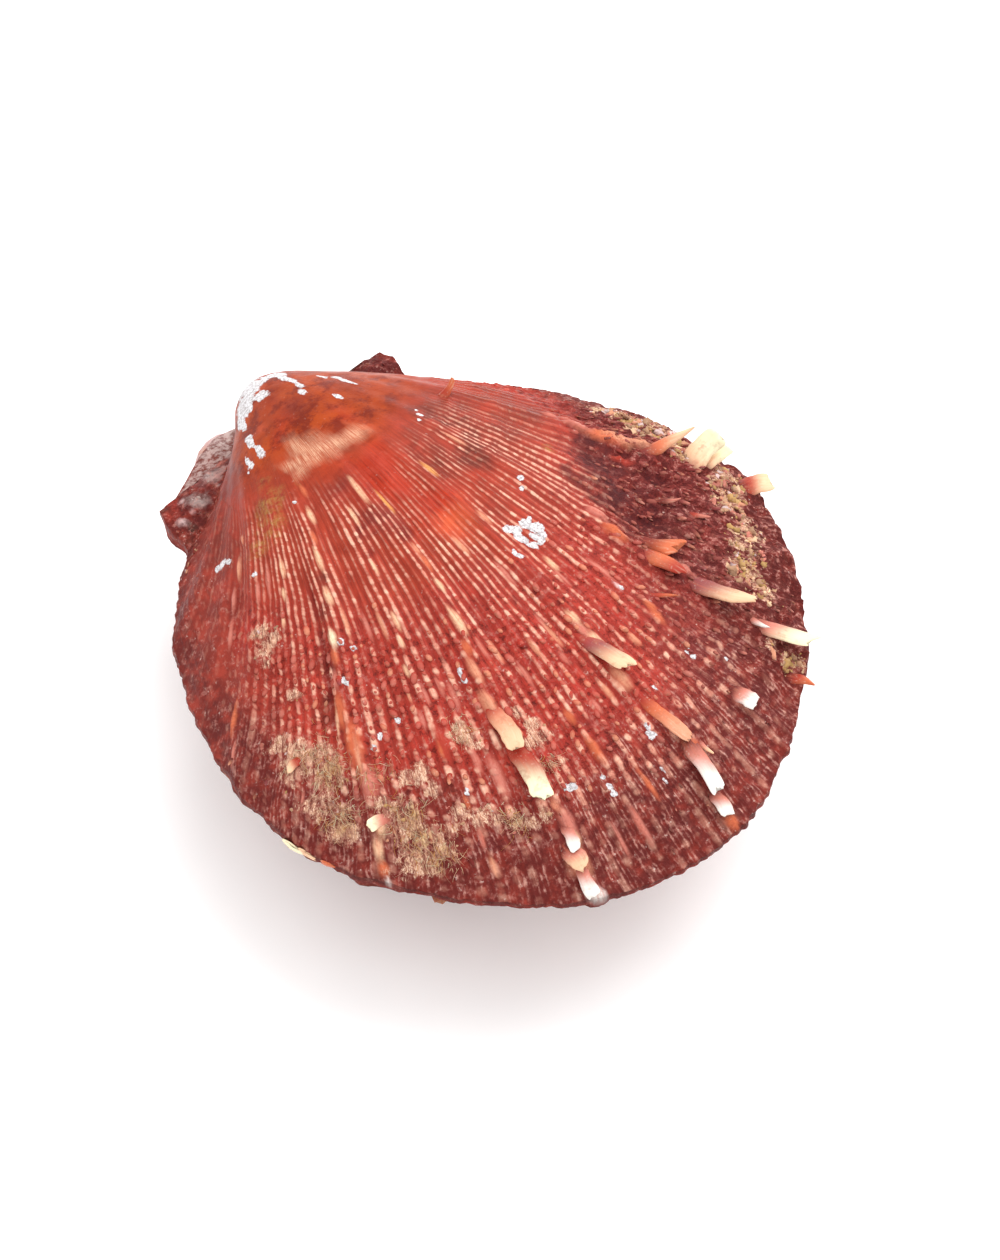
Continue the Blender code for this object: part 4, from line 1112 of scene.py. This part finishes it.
def rib_beads(chance):
    """Beads that break up the fine ribs of the outer half of the upper valve."""
    skin = SKINS["upper_valve"]
    number, cell = np.meshgrid(np.arange(8, 102), np.arange(22, 62))
    number, cell = number.ravel(), cell.ravel()
    growth = np.interp(cell + 0.5 - BEAD_SHIFT * dice(number, 3), BEAD_COUNTS, BEAD_GROWTHS)
    strength = dash_strength(number, cell)
    spread = window(fan_at(number / RIBLETS), 0.17, 0.27, 0.62, 0.80)
    lucky = chance.random(len(growth)) < window(growth, 0.56, 0.68, 0.82, 0.92) * (0.04 + 0.96 * spread)
    covered = np.maximum(skin.mask("crusted", number / RIBLETS, growth), skin.mask("marked", number / RIBLETS, growth))
    kept = (strength > 0.2) & lucky & (covered < 0.2)
    number, growth, strength = number[kept], growth[kept], strength[kept]
    growth = growth + chance.normal(0, 0.002, len(growth))
    count = number / RIBLETS
    count = count - (riblet_line(count, growth, RIBLETS, 2) - number) / RIBLETS
    middle = window(fan_at(count), 0.18, 0.28, 0.60, 0.76)
    total = len(count)
    size = (0.55 + 0.5 * strength) * (0.55 + 0.8 * chance.random(total))
    sizes = np.column_stack([0.80 * size, (0.95 + 0.5 * chance.random(total)) * size, 0.50 * size])
    rough = skin.mask("rough", count, growth)
    luck = chance.random(total) * (0.35 + 0.65 * middle) * (1 - 0.5 * rough)
    ground = skin.tone(count, growth)
    tips = tone_mix(["pink", "pink", "pink", "peach"], luck)
    tips = mixed(ground, tips, (0.10 + 0.65 * strength * (0.3 + 0.7 * luck)) * (1 - 0.45 * rough))
    seats = turned(skin.seats(count, growth), chance.normal(0, 0.3, total))
    seats = sunk(seats, sizes[:, 2] * 0.24)
    pattern = bead_pattern()
    share = ramp(coordinates(pattern.data)[:, 2], -0.02, 0.50)
    return scatter(pattern, seats, sizes, ground, tips, share, "rib_beads")


def rough_scales(chance):
    """Small scales that point to the margin on the right of the upper valve, and a few elsewhere on its outer part."""
    skin = SKINS["upper_valve"]
    count, growth = thrown(chance, SCALE_TRIES, (1.6, 7.6), (0.62, 0.985))
    rough = skin.mask("rough", count, growth)
    kept = chance.random(SCALE_TRIES) < 0.085 * rough**1.5 + 0.002
    count, growth = count[kept], growth[kept]
    total = len(count)
    outer = ramp(growth, 0.86, 0.95)
    size = (0.40 + 0.85 * chance.random(total) ** 2.5) * (1 - 0.25 * outer)
    sizes = np.column_stack([0.75 * size, 1.5 * size, 0.42 * size])
    ground = skin.tone(count, growth)
    tips = tone_mix(["plum", "pink", "mauve", "maroon", "pink", "liver", "mauve", "peach"], chance.random(total))
    tips = mixed(ground, tips, 0.25 + 0.6 * chance.random(total))
    lift = np.radians(chance.uniform(2, 22, total))
    seats = turned(skin.seats(count, growth), chance.normal(0, 0.3, total), lift)
    seats = sunk(seats, 0.16 * size)
    pattern = drawn_out("scale_pattern", 6, [(0.3, 1.1, 0.95), (0.62, 0.95, 0.75), (0.88, 0.6, 0.5), (1.0, 0.25, 0.25)])
    share = ramp(coordinates(pattern.data)[:, 1], 0.15, 0.95)
    return scatter(pattern, seats, sizes, ground, tips, share, "rough_scales")


def crust_crumbs(chance):
    """Lumps of the crust: on the right side, in the patches at the lower left, and as grains on the ears."""
    skin = SKINS["upper_valve"]
    count, growth = thrown(chance, CRUMB_TRIES, (0.0, 9.0), (0.45, 0.995))
    fan = fan_at(count)
    crusted = skin.mask("crusted", count, growth)
    ears = 1 - ramp(np.minimum(fan, 1 - fan), 0.04, 0.07)
    lumpy = crusted * window(fan, 0.55, 0.60, 0.80, 0.84)
    kept = chance.random(CRUMB_TRIES) < 0.04 * crusted + 0.70 * lumpy + 0.06 * ears
    count, growth, ears, lumpy = count[kept], growth[kept], ears[kept], lumpy[kept]
    mossy = skin.mask("mossy", count, growth)
    total = len(count)
    size = 0.25 + 0.15 * (lumpy > 0.1) + (0.5 + 0.8 * (lumpy > 0.1)) * chance.random(total) ** 3
    sizes = size[:, None] * np.array([1.0, 1.3, 0.8]) * (0.6 + 0.8 * chance.random((total, 3)))
    tones = tone_mix(["pink", "tan", "peach", "tan", "cream", "tan", "olive", "blush"], chance.random(total))
    tones = tones * (0.65 + 0.45 * chance.random((total, 1)))
    tones = mixed(tones, TONES["olive"], 0.7 * (mossy > 0.4) * (chance.random(total) > 0.4))
    tones = mixed(tones, skin.tone(count, growth) * (0.8 + 0.6 * chance.random((total, 1))), ears > 0.5)
    seats = turned(skin.seats(count, growth), chance.uniform(0, 6.28, total), chance.normal(0, 0.3, total))
    seats = sunk(seats, 0.16 * size)
    pattern = crumb_pattern()
    share = ramp(coordinates(pattern.data)[:, 2], -0.3, 0.4)
    ground = 0.7 * skin.tone(count, growth)
    return scatter(pattern, seats, sizes, mixed(ground, tones, 0.4), tones, share, "crust_crumbs")


# Where fibres mat the crust: (fan, growth, radius).
FUZZY = [
    (0.278, 0.848, 2.2), (0.264, 0.832, 2.4), (0.308, 0.836, 2.0), (0.326, 0.888, 2.0), (0.320, 0.888, 2.2),
    (0.328, 0.928, 2.6), (0.338, 0.952, 2.4), (0.282, 0.916, 2.2), (0.378, 0.760, 1.6), (0.422, 0.828, 1.6),
    (0.388, 0.888, 2.0),
]


def fuzz(chance):
    """Curved fibres that mat the crust at the lower left."""
    skin = SKINS["upper_valve"]
    count, growth = thrown(chance, FIBRE_TRIES, (0.3, 8.6), (0.55, 0.965))
    points = (skin.blend(skin.points, count, growth) / MM - HINGE) * np.array([1, -1, 1])
    fuzzy = patches(UPPER, points, FUZZY, wandering(points, 1.4), 1.6)
    kept = chance.random(FIBRE_TRIES) < 0.70 * fuzzy**1.6
    count, growth = count[kept], growth[kept]
    total = len(count)
    length = 0.6 + 1.5 * chance.random(total) ** 2
    thick = 0.07 + 0.05 * chance.random(total)
    sizes = np.column_stack([thick, length, thick])
    tones = tone_mix(["tan", "cream", "peach", "cream", "ivory", "cream", "gold"], chance.random(total))
    seats = turned(skin.seats(count, growth), chance.normal(0, 0.7, total), chance.normal(0.0, 0.07, total))
    steps = [(0.2 * k, 0.9**k, 0.9**k) for k in range(1, 6)]
    pattern = drawn_out("fibre_pattern", 3, steps)
    share = coordinates(pattern.data)[:, 1]
    return scatter(pattern, seats, sizes, 0.8 * tones, tones, share, "fuzz", chance.uniform(-1.5, 1.5, total))


# ---------------------------------------------------------------- materials


# Paints of the shaders, as linear red, green and blue: one tone, or the two ends of a mix.
PAINTS = {
    "streak": (0.10, 0.012, 0.010),
    "bright": ((0.46, 0.060, 0.036), (0.40, 0.058, 0.007)),
    "scraped": (0.13, 0.010, 0.004),
    "furrow": (0.15, 0.014, 0.009),
    "pit": (0.065, 0.008, 0.007),
    "freckle": ((0.40, 0.110, 0.090), (0.64, 0.33, 0.27)),
    "stria": ((0.38, 0.110, 0.090), (0.66, 0.36, 0.29)),
    "dash": ((0.62, 0.220, 0.155), (0.79, 0.46, 0.33)),
    "shade": (0.052, 0.007, 0.008),
    "vein": (0.50, 0.090, 0.050),
    "tan": ((0.50, 0.17, 0.090), (0.72, 0.44, 0.285)),
    "stain": (0.36, 0.21, 0.055),
    # The crust's colour, its pale strands with painted highlight, and painted shade for the gaps between its clumps.
    "crust": ((0.40, 0.160, 0.105), (0.62, 0.340, 0.220)),
    "strand_highlight": (0.86, 0.60, 0.43),
    "moss": (0.56, 0.38, 0.13),
    "shaded_gap": ((0.085, 0.020, 0.015), (0.30, 0.100, 0.070)),
    "dust_and_glints": (0.70, 0.54, 0.47),
    "chalk": ((0.40, 0.36, 0.36), (0.68, 0.665, 0.68)),
    "ligament": ((0.13, 0.040, 0.032), (0.46, 0.350, 0.320)),
    "porcelain": ((0.66, 0.62, 0.58), (0.72, 0.70, 0.67)),
    "horn streak": (0.56, 0.130, 0.065),
    "pale horn": (0.80, 0.66, 0.48),
    "flushed horn": (0.48, 0.16, 0.10),
    "dirt": (0.26, 0.095, 0.055),
    "worn horn": (0.74, 0.60, 0.50),
    "floor": ((0.91, 0.91, 0.91), (0.93, 0.93, 0.93)),
}


class Tree:
    """Adds nodes to a material or a group: numbers and colours are set, sockets are linked."""

    def __init__(self, tree):
        self.tree = tree

    def put(self, socket, value):
        if isinstance(value, bpy.types.NodeSocket):
            self.tree.links.new(value, socket)
        elif isinstance(value, tuple) and len(value) == 3 and socket.type == "RGBA":
            socket.default_value = (*value, 1)
        else:
            socket.default_value = value

    def node(self, kind, *values, **named):
        made = self.tree.nodes.new(kind)
        for key, value in named.items():
            setattr(made, key, value)
        for socket, value in zip(made.inputs, values):
            if value is not None:
                self.put(socket, value)
        return made

    def math(self, operation, *values, clamp=False):
        return self.node("ShaderNodeMath", *values, operation=operation, use_clamp=clamp).outputs[0]

    def linear(self, value, slope, start):
        """The value times the slope, plus the start."""
        return self.math("MULTIPLY_ADD", value, slope, start)

    def crest(self, line):
        """1 on top of each riblet and 0 in the furrows between them."""
        return self.linear(self.math("COSINE", self.math("MULTIPLY", line, 2 * math.pi)), 0.5, 0.5)

    def times(self, *values):
        """The product of all the values."""
        product = values[0]
        for value in values[1:]:
            product = self.math("MULTIPLY", product, value)
        return product

    def blend(self, share, first, second):
        """A number between two others."""
        return self.linear(share, self.math("SUBTRACT", second, first), first)

    def mask(self, name):
        return self.node("ShaderNodeAttribute", attribute_name=name).outputs["Fac"]

    def colour(self, name):
        return self.node("ShaderNodeAttribute", attribute_name=name).outputs["Color"]

    def mix(self, share, first, second, blend="MIX"):
        made = self.tree.nodes.new("ShaderNodeMix")
        made.data_type, made.blend_type = "RGBA", blend
        self.put(made.inputs[0], share)
        self.put(made.inputs[6], first)
        self.put(made.inputs[7], second)
        return made.outputs[2]

    def graded(self, name, value, low, high):
        """The two paints of that name, mixed by a value."""
        return self.mix(self.ramp(value, low, high), *PAINTS[name])

    def laid(self, colour, coats):
        """A colour under coats of others, laid on one after another: each is (share, colour)."""
        for share, coat in coats:
            colour = self.mix(share, colour, coat)
        return colour

    def noise(self, place, scale, detail=3.0, roughness=0.55, distortion=0.0):
        made = self.tree.nodes.new("ShaderNodeTexNoise")
        keys = ("Vector", "Scale", "Detail", "Roughness", "Distortion")
        for key, value in zip(keys, (place, scale, detail, roughness, distortion)):
            self.put(made.inputs[key], value)
        return made.outputs[0]

    def ramp(self, value, low, high, start=0.0, end=1.0):
        made = self.tree.nodes.new("ShaderNodeMapRange")
        made.interpolation_type = "SMOOTHSTEP"
        keys = ("Value", "From Min", "From Max", "To Min", "To Max")
        for key, number in zip(keys, (value, low, high, start, end)):
            self.put(made.inputs[key], number)
        return made.outputs[0]

    def scaled(self, place, scale):
        made = self.tree.nodes.new("ShaderNodeMapping")
        self.put(made.inputs["Vector"], place)
        self.put(made.inputs["Scale"], scale)
        return made.outputs[0]

    def lane(self, index, run):
        """Variation along one riblet that has nothing to do with its neighbours'."""
        own = self.linear(index, 3.713, 0.43)
        return self.noise(self.node("ShaderNodeCombineXYZ", own, run, 0.37).outputs[0], 1.0, 1.0, 0.5)


def new_group(name, inputs, output):
    """A node group with its inputs named, and its tree and input sockets."""
    group = bpy.data.node_groups.new(name, "ShaderNodeTree")
    for key, kind in inputs:
        group.interface.new_socket(key, in_out="INPUT", socket_type=f"NodeSocket{kind}")
    group.interface.new_socket(output, in_out="OUTPUT", socket_type="NodeSocketFloat")
    tree = Tree(group)
    return group, tree, tree.node("NodeGroupInput").outputs


def speckle_group():
    """Ragged specks: a mask that is broken up into grains of the given size."""
    inputs = [("Place", "Vector"), ("Mask", "Float"), ("Grain", "Float"), ("Loss", "Float")]
    group, tree, given = new_group("ragged_specks", inputs, "Specks")
    grain = tree.noise(given[0], given[2], 4.0, 0.65)
    left = tree.math("SUBTRACT", given[1], tree.math("MULTIPLY", given[3], grain))
    tree.node("NodeGroupOutput", tree.ramp(left, -0.05, 0.16))
    return group


def tooth_group():
    """Fine tooth of old shell: pits, grains and scratches along the ribs, as a height."""
    inputs = [("Place", "Vector"), ("Along", "Vector"), ("Coarse", "Float"), ("Scratches", "Float")]
    group, tree, given = new_group("shell_tooth", inputs, "Height")
    fine = tree.noise(given[0], 3500.0, 3.0, 0.6)
    coarse = tree.noise(given[0], 1300.0, 4.0, 0.65)
    lines = tree.noise(given[1], 1.0, 2.0, 0.5)
    height = tree.math("ADD", tree.math("MULTIPLY", fine, 0.35), tree.math("MULTIPLY", lines, given[3]))
    height = tree.math("ADD", height, tree.math("MULTIPLY", coarse, given[2]))
    tree.node("NodeGroupOutput", height)
    return group


def riblet_group():
    """One riblet's pale line: long dashes near the beak, short beads further out, each riblet on its own."""
    inputs = [("Line", "Float"), ("Growth", "Float"), ("Beaded", "Float")]
    group, tree, (line, growth, beaded, _) = new_group("riblet_dashes", inputs, "Dash")
    index = tree.math("FLOOR", tree.math("ADD", line, 0.5))
    own = tree.node("ShaderNodeTexWhiteNoise", noise_dimensions="1D")
    tree.put(own.inputs["W"], index)
    own = own.outputs["Value"]
    crest = tree.crest(line)
    far = tree.lane(index, tree.math("MULTIPLY", growth, 15.0))
    near = tree.lane(index, tree.math("MULTIPLY", growth, 74.0))
    tick = tree.lane(index, tree.math("MULTIPLY", growth, 120.0))
    lasting = tree.ramp(tree.linear(own, 0.36, far), 0.36, 0.76)
    lasting = tree.times(lasting, tree.ramp(tick, 0.32, 0.62, 0.35, 1.0))
    broken = tree.ramp(tree.linear(own, 0.16, near), 0.46, 0.76)
    dash = tree.blend(beaded, lasting, broken)
    low = tree.linear(dash, -0.62, 0.80)
    high = tree.linear(dash, -0.20, 1.12)
    tree.node("NodeGroupOutput", tree.times(tree.ramp(crest, low, high), dash))
    return group


def use(tree, group, *values):
    made = tree.tree.nodes.new("ShaderNodeGroup")
    made.node_tree = group
    for socket, value in zip(made.inputs, values):
        tree.put(socket, value)
    return made.outputs[0]


def new_material(name):
    made = bpy.data.materials.new(name)
    made.use_nodes = True
    shader = made.node_tree.nodes["Principled BSDF"]
    shader.inputs["Specular IOR Level"].default_value = 0.08
    return made, Tree(made.node_tree), shader


def bumped(tree, shader, height, strength, distance):
    bump = tree.node("ShaderNodeBump")
    tree.put(bump.inputs["Strength"], strength)
    tree.put(bump.inputs["Distance"], distance)
    tree.put(bump.inputs["Height"], height)
    tree.put(shader.inputs["Normal"], bump.outputs[0])


def valve_material(name, specks, tooth, riblets, gloss):
    """Pigments of a valve with painted shade and glints, laid on in the order that they show: ground, ribs, painted
    shade, marks, stains, crust with painted shade and highlight, dust with painted glints, and chalk.
    """
    made, tree, shader = new_material(name)
    place = tree.node("ShaderNodeTexCoord").outputs["Object"]
    sheet = tree.node("ShaderNodeUVMap", uv_map="UVMap").outputs[0]
    patchy = tree.noise(place, 420.0, 5.0, 0.62)
    fine = tree.noise(place, 2600.0, 3.0, 0.6)
    hues = tree.noise(place, 800.0, 3.0, 0.7)
    clumped = tree.noise(place, 620.0, 4.0, 0.65)
    streaks = tree.noise(tree.scaled(sheet, (420.0, 26.0, 1.0)), 1.0, 4.0, 0.6)
    comb = tree.noise(tree.scaled(sheet, (700.0, 30.0, 1.0)), 1.0, 3.0, 0.6)
    strands = tree.noise(tree.scaled(sheet, (820.0, 150.0, 1.0)), 1.0, 3.0, 0.6, 1.8)

    growth = tree.node("ShaderNodeSeparateXYZ", sheet).outputs[1]
    line, lined, clear, worn, rough = (tree.mask(key) for key in ("line", "lined", "clear", "worn", "rough"))
    plain = tree.linear(tree.mask("plain"), -0.85, 1.0)
    free = tree.math("SUBTRACT", 1.0, tree.mask("marked"))
    beaded = tree.ramp(growth, 0.54, 0.68)
    dash = tree.times(use(tree, riblets, line, growth, beaded), lined)
    striped = tree.times(tree.ramp(growth, 0.78, 0.90), lined)
    fine_line = tree.linear(line, 3.0, tree.math("MULTIPLY", patchy, 1.6))
    stria = tree.times(use(tree, riblets, fine_line, growth, 0.75), striped, plain)

    calm = tree.times(tree.linear(worn, -0.75, 1.0), tree.ramp(plain, 0.15, 1.0, 0.3, 1.0))
    soft = tree.ramp(tree.noise(place, 170.0, 3.0, 0.5), 0.42, 0.66, 0.0, 0.6)
    brightened = tree.blend(worn, tree.ramp(patchy, 0.42, 0.72, 0.0, 0.45), soft)
    scraped = tree.ramp(tree.noise(place, 330.0, 6.0, 0.72), 0.56, 0.36)
    furrow = tree.times(
        tree.ramp(tree.crest(line), 0.45, 0.0), lined, plain, tree.ramp(patchy, 0.3, 0.6, 0.10, 0.42), free
    )
    pits = tree.times(tree.ramp(hues, 0.47, 0.30), lined, plain, tree.ramp(growth, 0.52, 0.66, 0.0, 0.7), free)
    pits = tree.math("MAXIMUM", pits, tree.times(tree.ramp(hues, 0.54, 0.38), rough, 0.8))
    freckled = tree.math("MAXIMUM", rough, tree.ramp(beaded, 0.0, 1.0, 0.0, 0.45))
    veined = tree.ramp(streaks, 0.40, 0.70, 0.0, 0.5)
    combed = tree.times(tree.ramp(comb, 0.30, 0.58, 0.45, 1.0), tree.ramp(fine, 0.28, 0.5, 0.6, 1.0))

    lanes = tree.ramp(tree.noise(tree.scaled(sheet, (330.0, 20.0, 1.0)), 1.0, 4.0, 0.65), 0.38, 0.54)
    clumps = tree.times(tree.ramp(clumped, 0.36, 0.54, 0.25, 1.0), lanes)
    # The crust in three tones: its own colour, pale strands that carry a painted highlight, and painted shade in the
    # gaps between its clumps.
    crusty = tree.mix(tree.ramp(strands, 0.48, 0.60), tree.graded("crust", hues, 0.38, 0.62), PAINTS["strand_highlight"])
    crusty = tree.mix(tree.times(tree.mask("mossy"), tree.ramp(hues, 0.35, 0.6), 0.7), crusty, PAINTS["moss"])
    crusty = tree.mix(clumps, tree.graded("shaded_gap", strands, 0.40, 0.60), crusty)
    crusted = tree.mask("crusted")
    ragged = tree.linear(clumped, 1.7, tree.linear(strands, 1.0, tree.math("ADD", crusted, -2.35)))
    ragged = tree.linear(patchy, 1.4, ragged)
    crust = tree.times(tree.ramp(ragged, 0.10, 0.62), tree.ramp(crusted, 0.0, 0.3))
    # Pale dust specks that are also painted glints, small white highlights.
    glints = tree.ramp(tree.noise(place, 1900.0, 2.0, 0.5), 0.64, 0.76)
    dust_and_glints = tree.times(glints, tree.ramp(hues, 0.45, 0.65), tree.ramp(growth, 0.45, 0.75, 0.3, 1.0))
    chalk = use(tree, specks, place, tree.mask("chalky"), 1600.0, 1.0)

    colour = tree.laid(tree.colour("ground"), [
        (tree.times(tree.ramp(streaks, 0.35, 0.75, 0.0, 0.55), calm), PAINTS["streak"]),
        (tree.times(brightened, tree.linear(rough, -0.6, 1.0)), tree.mix(worn, *PAINTS["bright"])),
        (tree.times(scraped, worn, 0.8), PAINTS["scraped"]),
        (furrow, PAINTS["furrow"]),
        (pits, PAINTS["pit"]),
        (tree.times(tree.ramp(hues, 0.53, 0.68), freckled, 0.62), tree.graded("freckle", fine, 0.3, 0.7)),
        (tree.times(stria, tree.ramp(hues, 0.38, 0.60, 0.15, 0.85)), tree.graded("stria", hues, 0.3, 0.7)),
        (tree.math("MULTIPLY", tree.times(dash, clear), 1.15, clamp=True), tree.graded("dash", hues, 0.3, 0.7)),
        # Painted shade over the valley on the right.
        (tree.times(tree.mask("shaded"), tree.ramp(hues, 0.36, 0.62, 0.90, 0.45)), PAINTS["shade"]),
        (tree.times(tree.mask("marked"), tree.ramp(fine, 0.25, 0.55, 0.60, 0.95)),
         tree.mix(veined, tree.colour("marks"), PAINTS["vein"])),
        (tree.times(tree.mask("tanned"), combed, 0.90), tree.graded("tan", comb, 0.35, 0.65)),
        (tree.times(tree.mask("stained"), tree.ramp(hues, 0.35, 0.65), tree.ramp(fine, 0.35, 0.6, 0.4, 1.0), 0.7),
         PAINTS["stain"]),
        (tree.times(crust, 0.9), crusty),
        # Dust and painted glints.
        (tree.times(dust_and_glints, 0.6), PAINTS["dust_and_glints"]),
        (chalk, tree.graded("chalk", fine, 0.38, 0.58)),
        (tree.mask("hinge"), tree.graded("ligament", hues, 0.40, 0.62)),
        (tree.mask("inside"), tree.graded("porcelain", patchy, 0.3, 0.7)),
    ])
    tree.put(shader.inputs["Base Color"], colour)

    dull = tree.times(tree.math("MAXIMUM", tree.math("MAXIMUM", crust, chalk), rough), 0.30)
    smooth = tree.ramp(patchy, 0.3, 0.7, gloss - 0.08, gloss + 0.12)
    tree.put(shader.inputs["Roughness"], tree.math("ADD", smooth, dull))
    coarse = tree.linear(tree.math("MAXIMUM", crusted, rough), 1.8, 0.25)
    coarse = tree.linear(chalk, 0.8, coarse)
    scratches = tree.ramp(growth, 0.36, 0.60, 0.0, 0.4)
    height = use(tree, tooth, place, tree.scaled(sheet, (900.0, 60.0, 1.0)), coarse, scratches)
    for part, share in ((tree.times(dash, plain), 1.0), (stria, 0.8), (pits, -1.0)):
        height = tree.linear(part, share, height)
    bumped(tree, shader, height, 0.8, 0.00018)
    return made


def horn_material(name, specks, tooth, gloss, streaky):
    """Stuff of the spines and of the small things that grow or lie on the shell, in the tones that they carry."""
    made, tree, shader = new_material(name)
    place = tree.node("ShaderNodeTexCoord").outputs["Object"]
    patchy = tree.noise(place, 520.0, 4.0, 0.6)
    fine = tree.noise(place, 2600.0, 3.0, 0.6)
    reach, side = tree.mask("reach"), tree.mask("side")
    fibres = tree.node("ShaderNodeCombineXYZ", tree.times(side, 11.0), tree.times(reach, 1.6), 0.3)
    grain = tree.noise(fibres.outputs[0], 1.0, 3.0, 0.6)
    near_root = tree.ramp(reach, 0.9, 0.2, 0.25, 1.0)
    dirt = use(tree, specks, place, tree.ramp(patchy, 0.3, 0.7, 0.1, 0.5), 1500.0, 0.8)
    colour = tree.laid(tree.colour("tone"), [
        (tree.times(tree.ramp(grain, 0.45, 0.70, 0.0, 0.26 * streaky), near_root), PAINTS["horn streak"]),
        (tree.times(tree.ramp(grain, 0.50, 0.30), tree.ramp(reach, 0.1, 0.6), 0.22 * streaky), PAINTS["pale horn"]),
        (tree.times(tree.ramp(patchy, 0.50, 0.75, 0.0, 0.30), near_root), PAINTS["flushed horn"]),
        (tree.times(dirt, 0.7 - 0.45 * streaky), PAINTS["dirt"]),
        (tree.ramp(fine, 0.58, 0.72, 0.0, 0.25), PAINTS["worn horn"]),
    ])
    tree.put(shader.inputs["Base Color"], colour)
    tree.put(shader.inputs["Roughness"], tree.ramp(patchy, 0.3, 0.7, gloss, gloss + 0.2))
    height = use(tree, tooth, place, tree.scaled(place, (2200.0, 2200.0, 2200.0)), 0.5, 0.4)
    bumped(tree, shader, tree.linear(grain, 0.6, height), 0.45, 0.00015)
    return made


def floor_material():
    made, tree, shader = new_material("pale_floor")
    place = tree.node("ShaderNodeTexCoord").outputs["Object"]
    grain = tree.noise(place, 60.0, 3.0, 0.5)
    tree.put(shader.inputs["Base Color"], tree.graded("floor", grain, 0.3, 0.7))
    tree.put(shader.inputs["Roughness"], tree.ramp(grain, 0.3, 0.7, 0.7, 0.8))
    shader.inputs["Emission Color"].default_value = (1, 1, 1, 1)
    shader.inputs["Emission Strength"].default_value = FLOOR_GLOW
    return made


def paint(obj, material):
    obj.data.materials.clear()
    obj.data.materials.append(material)


# ---------------------------------------------------------------- stage, light and camera

# Where the camera stands about the shell, how far it is from what it aims at, in metres, and its lens, in millimetres.
AZIMUTH, ELEVATION = math.radians(-44.39), math.radians(52)
CAMERA_DISTANCE, LENS = 0.45, 85

# What the camera aims at, from the hinge's middle, in millimetres.
AIM = np.array([-2.47, -53.28, 0.0])

AWAY = Vector((-math.sin(AZIMUTH), math.cos(AZIMUTH), 0))
RIGHT = Vector((math.cos(AZIMUTH), math.sin(AZIMUTH), 0))

LAMP_PLACE = AWAY * 0.45 + RIGHT * 0.30 + Vector((0, 0, 0.75))
LAMP_SIZE, LAMP_POWER, SKY_STRENGTH, FLOOR_GLOW, FLOOR_SIZE = 0.9, 7.5, 1.25, 0.10, 4


def stage():
    clear_selection()
    bpy.ops.mesh.primitive_plane_add(size=FLOOR_SIZE, location=(0, 0, 0))
    floor = added("floor")
    paint(floor, floor_material())
    world = bpy.data.worlds.new("soft_sky")
    bpy.context.scene.world = world
    world.use_nodes = True
    sky = world.node_tree.nodes["Background"]
    sky.inputs["Color"].default_value = (1.0, 1.0, 1.0, 1)
    sky.inputs["Strength"].default_value = SKY_STRENGTH
    lamp(LAMP_PLACE, LAMP_SIZE, LAMP_POWER)


def lamp(place, size, power):
    clear_selection()
    bpy.ops.object.light_add(type="AREA", location=place)
    light = bpy.context.object
    light.data.size = size
    light.data.energy = power
    light.rotation_euler = (Vector((0, 0, 0.02)) - Vector(place)).to_track_quat("-Z", "Y").to_euler()


def camera():
    level = math.cos(ELEVATION)
    back = Vector((math.sin(AZIMUTH) * level, -math.cos(AZIMUTH) * level, math.sin(ELEVATION)))
    aim = Vector((HINGE + AIM) * MM)
    bpy.ops.object.camera_add(location=aim + CAMERA_DISTANCE * back)
    made = bpy.context.object
    made.rotation_euler = back.to_track_quat("Z", "Y").to_euler()
    made.data.lens = LENS
    made.data.sensor_width = 36
    made.data.sensor_fit = "AUTO"
    bpy.context.scene.camera = made


def main():
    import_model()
    clear_selection()
    specks, tooth, riblets = speckle_group(), tooth_group(), riblet_group()
    red = valve_material("red_shell", specks, tooth, riblets, 0.40)
    maroon = valve_material("maroon_shell", specks, tooth, riblets, 0.55)
    horn = horn_material("spine_horn", specks, tooth, 0.34, 1.0)
    grit = horn_material("shell_grit", specks, tooth, 0.55, 0.3)

    upper = valve(UPPER, upper_surface, *UPPER_GRID, "upper_shell")
    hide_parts("upper_valve")
    lower = valve(LOWER, lower_surface, *LOWER_GRID, "lower_shell")
    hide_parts("lower_valve")
    upper_spines = spines(UPPER, UPPER_SPINES, "upper_spines")
    lower_spines = spines(LOWER, LOWER_SPINES, "lower_spines")
    chance = np.random.default_rng(5)
    for piece, slot, finish in (
        (upper, "red_orange_shell", red),
        (lower, "maroon_shell", maroon),
        (upper_spines, "red_orange_shell", horn),
        (lower_spines, "maroon_shell", horn),
        (rib_beads(chance), "red_orange_shell", grit),
        (rough_scales(chance), "red_orange_shell", grit),
        (crust_crumbs(chance), "maroon_shell", grit),
        (fuzz(chance), "maroon_shell", grit),
    ):
        paint(piece, finish)
        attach(piece, "root")
    stage()
    camera()
    bpy.context.scene.view_settings.view_transform = "Standard"


main()
